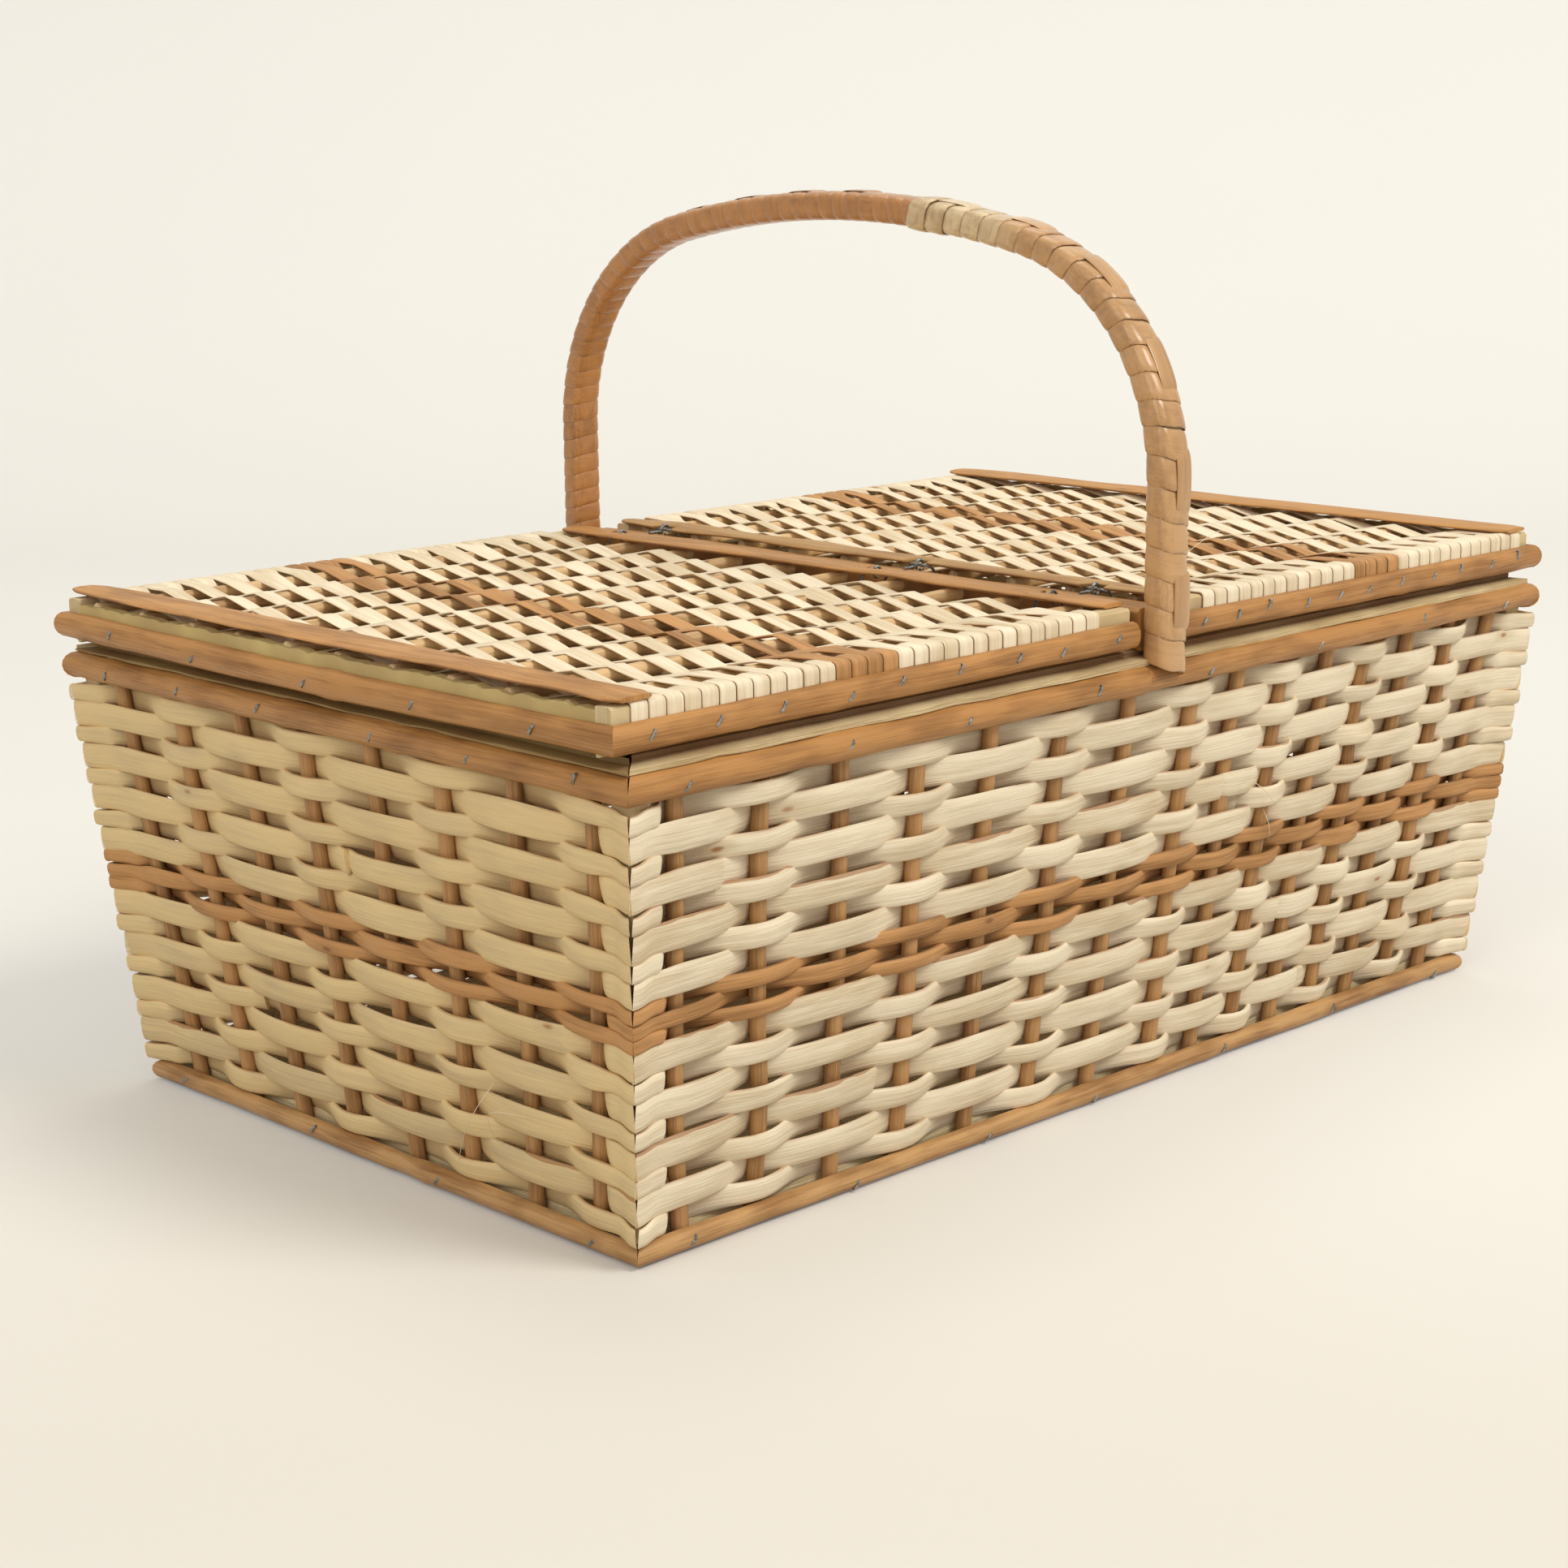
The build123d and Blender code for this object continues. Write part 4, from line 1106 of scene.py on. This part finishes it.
def fit_hinge_pins(lid):
    """Staples of round wire whose backs lie on the hinge axis."""
    shape = Shape()
    axis = HINGE_AXES[lid.name]
    foot = lid.batten_top + WIRE_RADIUS
    leg = [(axis + lid.side * 4.0 * t, 5.0, AXIS_HEIGHT + (foot - AXIS_HEIGHT) * t) for t in (1, 0.6, 0.2)]
    bend = [(axis + lid.side * 0.25, 4.6, AXIS_HEIGHT - 0.25), (axis, 3.8, AXIS_HEIGHT)]
    half = np.array(leg + bend)
    whole = np.concatenate([half, half[::-1] * (1, -1, 1)])
    for y in hinge_places():
        path = whole + y * Y
        direction = unit(np.gradient(path, axis=0))
        side = unit(np.cross(direction, lid.side * 0.8 * X + Z))
        shape.tube(path, side, unit(np.cross(direction, side)), round_profile(WIRE_RADIUS, 8), 0.5)
    shape.made(f"{lid.name}_hinge_wires", lid.name, "hinge_wire", f"{lid.name}_hinge_pins")


# Handle

class Arch:
    """Middle line of the handle: two legs, two shoulders of a small radius and a crown of a large one."""

    def __init__(self):
        low, high = span("handle_core")
        self.foot, self.top = low[2], high[2] - CORE_RISE
        self.shoulder_y = LEG_MIDDLE - SHOULDER_RADIUS
        rise = math.sqrt((CROWN_RADIUS - SHOULDER_RADIUS) ** 2 - self.shoulder_y ** 2)
        self.shoulder_z = self.top - CROWN_RADIUS + rise
        self.turn = math.atan2(rise, self.shoulder_y)
        self.leg = self.shoulder_z - self.foot
        self.shoulder = SHOULDER_RADIUS * self.turn
        self.half = self.leg + self.shoulder + CROWN_RADIUS * (math.pi / 2 - self.turn)

    def at(self, end, along):
        """Places at these lengths from one foot, with the direction ahead and the direction outward."""
        before_crown = along < self.leg + self.shoulder
        turn = np.where(before_crown, np.maximum(along - self.leg, 0) / SHOULDER_RADIUS,
                        self.turn + (along - self.leg - self.shoulder) / CROWN_RADIUS)
        radius = np.where(before_crown, SHOULDER_RADIUS, CROWN_RADIUS)
        middle_y = np.where(before_crown, self.shoulder_y, 0.0)
        middle_z = np.where(along < self.leg, self.foot + along,
                            np.where(before_crown, self.shoulder_z, self.top - CROWN_RADIUS))
        out = table(0.0, end * np.cos(turn), np.sin(turn))
        ahead = table(0.0, -end * np.sin(turn), np.cos(turn))
        return table(0.0, end * middle_y, middle_z) + out * (radius - CORE_INSET)[:, None], ahead, out


def seated(centre, *directions):
    """Turns the handle a little about Z and moves it over the middle bar."""
    turn = about_z(math.cos(HANDLE_TURN), math.sin(HANDLE_TURN))
    return [centre @ turn + HANDLE_MIDDLE * X] + [direction @ turn for direction in directions]


def wound(shape, arch, end, reach, pitch, taper, lap, thickness, rng, pale):
    """A flat cane wound up the arch.

    Round the core, the cane's middle line follows a rounded rectangle: each half size times a cosine or
    sine whose size is raised to a power. Up the arch it climbs one pitch a turn, which may shrink along the
    way, and each turn's lower edge lies on the turn below. The last turn may lap over the end of the other
    winding.
    """
    turns = int(reach / (pitch * (1 - taper / 2)))
    turn = np.linspace(0, turns, turns * 26 + 1)
    whole = np.arange(turns + 1)
    steps = pitch * (1 - taper * np.linspace(0, 1, turns + 1)) * (1 + rng.normal(0, 0.05, turns + 1))
    climb = np.concatenate([[0], np.cumsum(steps[:turns])])
    climb *= reach / climb[-1]
    along = np.interp(turn, whole, climb)
    width = np.interp(turn, whole, np.append(np.diff(climb), climb[-1] - climb[-2])) * 1.06
    place, ahead, out = arch.at(end, along)
    half = CORE_HALF + CANE_ROOM + thickness / 2
    cos, sin = np.cos(turn * 2 * np.pi), np.sin(turn * 2 * np.pi)
    x, rise = (reach_out * np.sign(wave) * np.abs(wave) ** SQUARENESS
               for reach_out, wave in zip(half, (cos, sin)))
    centre = place + X * x[:, None] + out * rise[:, None]
    slopes = [np.sign(wave) * np.abs(wave) ** (2 - SQUARENESS) / reach_out
              for reach_out, wave in zip(half, (cos, sin))]
    normal = unit(X * slopes[0][:, None] + out * slopes[1][:, None])
    centre = centre + normal * (lap * eased(np.clip((along - reach) / (0.8 * pitch) + 2, 0, 1)))[:, None]
    shingle = math.atan2(0.5 * thickness, pitch)
    side = ahead * math.cos(shingle) - normal * math.sin(shingle)
    up = normal * math.cos(shingle) + ahead * math.sin(shingle)
    tone = np.interp(turn, whole, np.clip(0.5 + rng.normal(0, 0.16, turns + 1), 0, 1))
    shape.tube(*seated(centre, side, up), split_profile(width, thickness, 0.1), tone, 0.0, pale(along),
               rng.random() * GRAIN_LENGTH)
    return climb


def slip(shape, arch, end, climb, thickness, rng, pale):
    """A flat slip along the outside of the arch, over two turns and under the next two."""
    t = np.linspace(0, 1, 14)
    above = CORE_HALF[1] + CANE_ROOM + thickness + 0.28
    lift = above - 0.75 * np.exp(-t * 14) - 0.75 * np.exp(-(1 - t) * 14)
    for first in range(1, len(climb) - 3, 4):
        along = np.linspace(climb[first] + 0.6, climb[first + 2] + 0.8, 14)
        place, _, out = arch.at(end, along)
        x = 1.2 + rng.normal(0, 0.2) + rng.normal(0, 0.3) * (t - 0.5)
        centre = place + X * x[:, None] + out * lift[:, None]
        profile = split_profile(7.0 + rng.normal(0, 0.2), 0.45, 0.08)
        shape.tube(*seated(centre, X, out), profile, 0.2 + 0.6 * rng.random(), 0.0, pale(along),
                   rng.random() * GRAIN_LENGTH)


def wind_handle():
    """The core rod, and two canes wound on it that meet on the near side of the top."""
    arch, core = Arch(), Shape()
    along = np.linspace(0, arch.half, 60)
    front, back = arch.at(-1, along), arch.at(1, along[::-1][1:])
    place, out = (np.concatenate([front[i], back[i]]) for i in (0, 2))
    core.tube(*seated(place, X, out), board_profile(*(2 * CORE_HALF), 1.6), 0.5)
    core.made("handle_core_rod", "root", "core_wood", "handle_core")

    near_reach, far_reach = arch.half - WINDINGS_MEET, arch.half + WINDINGS_MEET + 3

    def pale_end(at):
        return np.clip((at - near_reach + PALE_LENGTH) / 3, 0, 1)

    for end, reach, pitch, taper, lap, thickness, slot, node, pale in (
            (-1, near_reach, size("near_cane"), 0.25, 0.65, 0.85, "tan_cane", "handle_wrap_front", pale_end),
            (1, far_reach, size("far_cane"), 0.0, 0.0, 0.6, "brown_cane", "handle_wrap_back", np.zeros_like)):
        rng = draws(node)
        shape = Shape()
        climb = wound(shape, arch, end, reach, pitch, taper, lap, thickness, rng, pale)
        slip(shape, arch, end, climb, thickness, rng, pale)
        shape.made(f"{node}_cane", "root", slot, node)


# Small things

def staple(shape, place, along, out, rng):
    """A staple's back lies on the band at a slant, and its two legs go in."""
    slant = math.radians(52 + rng.normal(0, 7))
    line = along * math.cos(slant) + np.cross(out, along) * math.sin(slant)
    reach = np.array([-0.5, -0.5, -0.36, 0.36, 0.5, 0.5]) * size("staple_length")
    depth = np.array([-1.0, -0.1, 0.22, 0.22, -0.1, -1.0])
    path = np.asarray(place) + line * reach[:, None] + out * depth[:, None]
    side = np.cross(line, out)
    up = unit(np.cross(unit(np.gradient(path, axis=0)), side))
    shape.tube(path, side, up, round_profile(0.42, 6, 0.8), rng.random())


def drive_staples():
    shape = Shape()
    for side in SIDES:
        wall, one = Wall(side), Shape()
        rng = draws("staples", side)
        for place, depth, pitch in (("rim", RIM_BAND_DEPTH, 52.0 if wall.long else 46.0),
                                    ("foot", FOOT_BAND_DEPTH, 57.0)):
            low, high = span(f"{place}_band_{side}")
            middle = (low[2] + high[2]) / 2
            half = wall.half(middle) - 14
            for x in np.linspace(-half, half, round(2 * half / pitch) + 1):
                x, z = x + rng.normal(0, 3), middle + rng.normal(0, 0.6)
                staple(one, wall.point(x, STAKE_RADIUS + ROOM + depth - 0.15, z), X, wall.out, rng)
        shape.take(one.turned(wall.quarter))
    shape.made("body_staples", "root", "hinge_wire")

    for name, pitch in (("left_lid", 22.0), ("right_lid", 17.5)):
        lid, shape = Lid(name), Shape()
        low, high = span(f"{name}_end_band")
        middle = (low[2] + high[2]) / 2
        rng = draws("staples", name)
        outer = lid.reach("end_band")[1] - 0.2
        first, last = lid.inner + 9, outer - 14
        for sign in (-1, 1):
            for out in np.linspace(first, last, round((last - first) / pitch) + 1):
                drop = side_drop((out - lid.inner) / (outer - lid.inner))
                place = (float(lid.x(out + rng.normal(0, 1.5))), sign * (high[1] - 0.2),
                         middle + 0.6 - drop + rng.normal(0, 0.5))
                staple(shape, place, -sign * X, sign * Y, rng)
        for y in np.linspace(-100, 100, 5):
            drop = end_drop(0.5 + y / (2 * high[1]))
            place = (float(lid.x(outer)), y + rng.normal(0, 4), middle - drop + rng.normal(0, 0.5))
            staple(shape, place, lid.side * Y, lid.side * X, rng)
        shape.made(f"{name}_staples", name, "hinge_wire")


def pull_fibres():
    """A few thin fibres have come loose: each is a straight line bowed out by half a sine wave."""
    t = np.linspace(0, 1, 18)[:, None]
    for i, (body, start, stop, bow, radius) in enumerate(FIBRES):
        start, stop, bow = np.array(start), np.array(stop), np.array(bow)
        path = start * (1 - t) + stop * t + bow * np.sin(np.pi * t)
        shape = Shape()
        shape.wire(path, unit(np.cross(stop - start, bow)), 0.4, radius, 5)
        shape.made(f"loose_fibre_{i + 1}", body, "peeled_willow")


# Stage

def lay_floor(stage, colours):
    """Plain pale floor that curves up into a backdrop: a straight run, a quarter circle and a wall."""
    near, far, radius, wall_height, half_width = -6.0, 1.1, 0.9, 4.0, 7.0
    turn = np.linspace(0, np.pi / 2, 16)
    run = np.concatenate([[near], far + radius * np.sin(turn), [far + radius]])
    rise = np.concatenate([[0], radius - radius * np.cos(turn), [radius + wall_height]])
    ahead = np.array([-math.sin(stage.azimuth), math.cos(stage.azimuth), 0])
    right = np.array([math.cos(stage.azimuth), math.sin(stage.azimuth), 0])
    across = np.array([-half_width, 0, half_width])
    grid = run[:, None, None] * ahead + across[None, :, None] * right + rise[:, None, None] * Z
    grid[..., 2] -= 0.0002
    count = len(across)
    i, j = np.meshgrid(np.arange(len(run) - 1), np.arange(count - 1), indexing="ij")
    here = i * count + j
    faces = np.stack([here, here + 1, here + 1 + count, here + count], -1).reshape(-1, 4)
    mesh = bpy.data.meshes.new("floor")
    mesh.from_pydata(grid.reshape(-1, 3).tolist(), [], faces.tolist())
    mesh.polygons.foreach_set("use_smooth", np.ones(len(mesh.polygons), bool))
    floor = bpy.data.objects.new("floor", mesh)
    bpy.context.scene.collection.objects.link(floor)

    n, surface, paper = new_material("floor_paper")
    place = n.place()
    pale = tuple(colours.floor)
    seen = n.mix(n.noise(place, 3.0, 2.0), (*pale, 1), (*scaled(pale, 0.97), 1))
    rays = n.add("ShaderNodeLightPath").outputs
    in_view = n.math("MAXIMUM", rays["Is Camera Ray"], rays["Is Glossy Ray"])
    in_view = n.math("MAXIMUM", in_view, rays["Is Transmission Ray"])
    n.link(n.mix(in_view, (*scaled(pale, 0.6), 1), seen), surface["Base Color"])
    away = n.fed("ShaderNodeVectorMath", {0: place, 1: ahead}, operation="DOT_PRODUCT")["Value"]
    # Painted light: the floor glows bluish where the camera sees it, from nothing at the front up to 0.15
    # towards the back, which also lifts the basket's shadow on it.
    lift = n.times(n.ramp(away, -0.38, 0.02), 0.15)
    surface["Emission Color"].default_value = (0.72, 0.88, 1.0, 1)
    n.link(n.times(in_view, lift), surface["Emission Strength"])
    surface["Roughness"].default_value = 0.9
    surface["Specular IOR Level"].default_value = 0.1
    mesh.materials.append(paper)


def place_camera(stage):
    """Looks at the target from an azimuth, an elevation and a distance, and is rolled about its own axis."""
    a, e, roll = stage.azimuth, stage.elevation, stage.roll
    back = Vector((math.sin(a) * math.cos(e), -math.cos(a) * math.cos(e), math.sin(e)))
    side = Vector((math.cos(a), math.sin(a), 0))
    upward = back.cross(side)
    axes = (side * math.cos(roll) + upward * math.sin(roll),
            upward * math.cos(roll) - side * math.sin(roll), back)
    data = bpy.data.cameras.new("photo_camera")
    data.lens = stage.lens
    data.sensor_width = 36.0
    data.clip_start, data.clip_end = 0.02, 50
    camera = bpy.data.objects.new("photo_camera", data)
    bpy.context.scene.collection.objects.link(camera)
    place = Matrix.Translation(Vector(stage.target) + back * stage.distance)
    camera.matrix_world = place @ Matrix(axes).transposed().to_4x4()
    bpy.context.scene.camera = camera


def hang_lights(stage):
    """Three soft lamps, and light from all round."""
    for name, place, disc, power in (("key_light", (0.7, -2.7, 2.9), 1.6, stage.key_power),
                                     ("side_light", (-3.2, -0.8, 2.0), 2.4, stage.key_power * 0.36),
                                     ("top_light", (0.6, 1.0, 3.6), 2.2, stage.key_power * 0.32)):
        data = bpy.data.lights.new(name, "AREA")
        data.shape, data.size, data.energy, data.color = "DISK", disc, power, (1.0, 0.985, 0.96)
        lamp = bpy.data.objects.new(name, data)
        bpy.context.scene.collection.objects.link(lamp)
        lamp.location = place
        lamp.rotation_mode = "QUATERNION"
        lamp.rotation_quaternion = (Vector(place) - Vector((0, 0, 0.08))).to_track_quat("Z", "Y")
    world = bpy.data.worlds.new("studio")
    bpy.context.scene.world = world
    world.use_nodes = True
    background = world.node_tree.nodes["Background"].inputs
    background["Color"].default_value = (1.0, 0.99, 0.97, 1)
    background["Strength"].default_value = stage.fill


# Operators, one for each group of pieces

class BASKET_OT_materials(bpy.types.Operator):
    """Makes the wood, cane and wire materials"""
    bl_idname = "basket.materials"
    bl_label = "Materials"

    def execute(self, context):
        make_materials()
        return {"FINISHED"}


class BASKET_OT_walls(bpy.types.Operator):
    """Weaves the rows of the four walls round their stakes"""
    bl_idname = "basket.walls"
    bl_label = "Woven walls"

    def execute(self, context):
        weave_walls()
        set_stakes()
        return {"FINISHED"}


class BASKET_OT_wall_bands(bpy.types.Operator):
    """Fits the half round bands at the rim and the foot"""
    bl_idname = "basket.wall_bands"
    bl_label = "Rim and foot bands"

    def execute(self, context):
        fit_wall_bands()
        return {"FINISHED"}


class BASKET_OT_battens(bpy.types.Operator):
    """Fits the rim battens, the corner posts and the boards of the base"""
    bl_idname = "basket.battens"
    bl_label = "Battens and base"

    def execute(self, context):
        fit_wall_battens()
        return {"FINISHED"}


class BASKET_OT_middle(bpy.types.Operator):
    """Fits the middle bar and its wire eyes"""
    bl_idname = "basket.middle"
    bl_label = "Middle bar"

    def execute(self, context):
        fit_middle()
        return {"FINISHED"}


class BASKET_OT_lids(bpy.types.Operator):
    """Makes the two lids with their battens, rods, splits, strips, bands and hinge wires"""
    bl_idname = "basket.lids"
    bl_label = "Lids"

    def execute(self, context):
        for name in HINGE_AXES:
            lid = Lid(name)
            for fit in (fit_lid_battens, fit_lid_rods, weave_lid,
                        fit_lid_strips, fit_lid_bands, fit_hinge_pins):
                fit(lid)
        return {"FINISHED"}


class BASKET_OT_handle(bpy.types.Operator):
    """Winds the handle with cane"""
    bl_idname = "basket.handle"
    bl_label = "Handle"

    def execute(self, context):
        wind_handle()
        return {"FINISHED"}


class BASKET_OT_staples(bpy.types.Operator):
    """Drives the staples into the bands and pulls a few fibres loose"""
    bl_idname = "basket.staples"
    bl_label = "Staples"

    def execute(self, context):
        drive_staples()
        pull_fibres()
        return {"FINISHED"}


class BASKET_OT_stage(bpy.types.Operator):
    """Lays the floor and sets the lights and the camera"""
    bl_idname = "basket.stage"
    bl_label = "Stage"

    def execute(self, context):
        scene = context.scene
        lay_floor(scene.basket_stage, scene.basket_colours)
        place_camera(scene.basket_stage)
        hang_lights(scene.basket_stage)
        scene.view_settings.view_transform = "Standard"
        return {"FINISHED"}


STEPS = (BASKET_OT_materials, BASKET_OT_walls, BASKET_OT_wall_bands, BASKET_OT_battens, BASKET_OT_middle,
         BASKET_OT_lids, BASKET_OT_handle, BASKET_OT_staples, BASKET_OT_stage)
GROUPS = (("basket_sizes", BasketSizes), ("basket_colours", BasketColours), ("basket_stage", BasketStage))


class BASKET_PT_panel(bpy.types.Panel):
    """Lists the steps that build the basket, and its sizes and colours"""
    bl_idname = "BASKET_PT_panel"
    bl_label = "Willow basket"
    bl_space_type = "VIEW_3D"
    bl_region_type = "UI"
    bl_category = "Basket"

    def draw(self, context):
        for step in STEPS:
            self.layout.operator(step.bl_idname)
        for group, cls in GROUPS:
            box = self.layout.box()
            for name in cls.__annotations__:
                box.prop(getattr(context.scene, group), name)


def register():
    for name, group in GROUPS:
        bpy.utils.register_class(group)
        setattr(bpy.types.Scene, name, PointerProperty(type=group))
    for cls in STEPS + (BASKET_PT_panel,):
        bpy.utils.register_class(cls)


def unregister():
    for cls in reversed(STEPS + (BASKET_PT_panel,)):
        bpy.utils.unregister_class(cls)
    for name, group in reversed(GROUPS):
        delattr(bpy.types.Scene, name)
        bpy.utils.unregister_class(group)


def main():
    register()
    bpy.ops.basket.materials()
    bpy.ops.basket.walls()
    bpy.ops.basket.wall_bands()
    bpy.ops.basket.battens()
    bpy.ops.basket.middle()
    bpy.ops.basket.lids()
    bpy.ops.basket.handle()
    bpy.ops.basket.staples()
    bpy.ops.basket.stage()


if __name__ == "__main__":
    main()
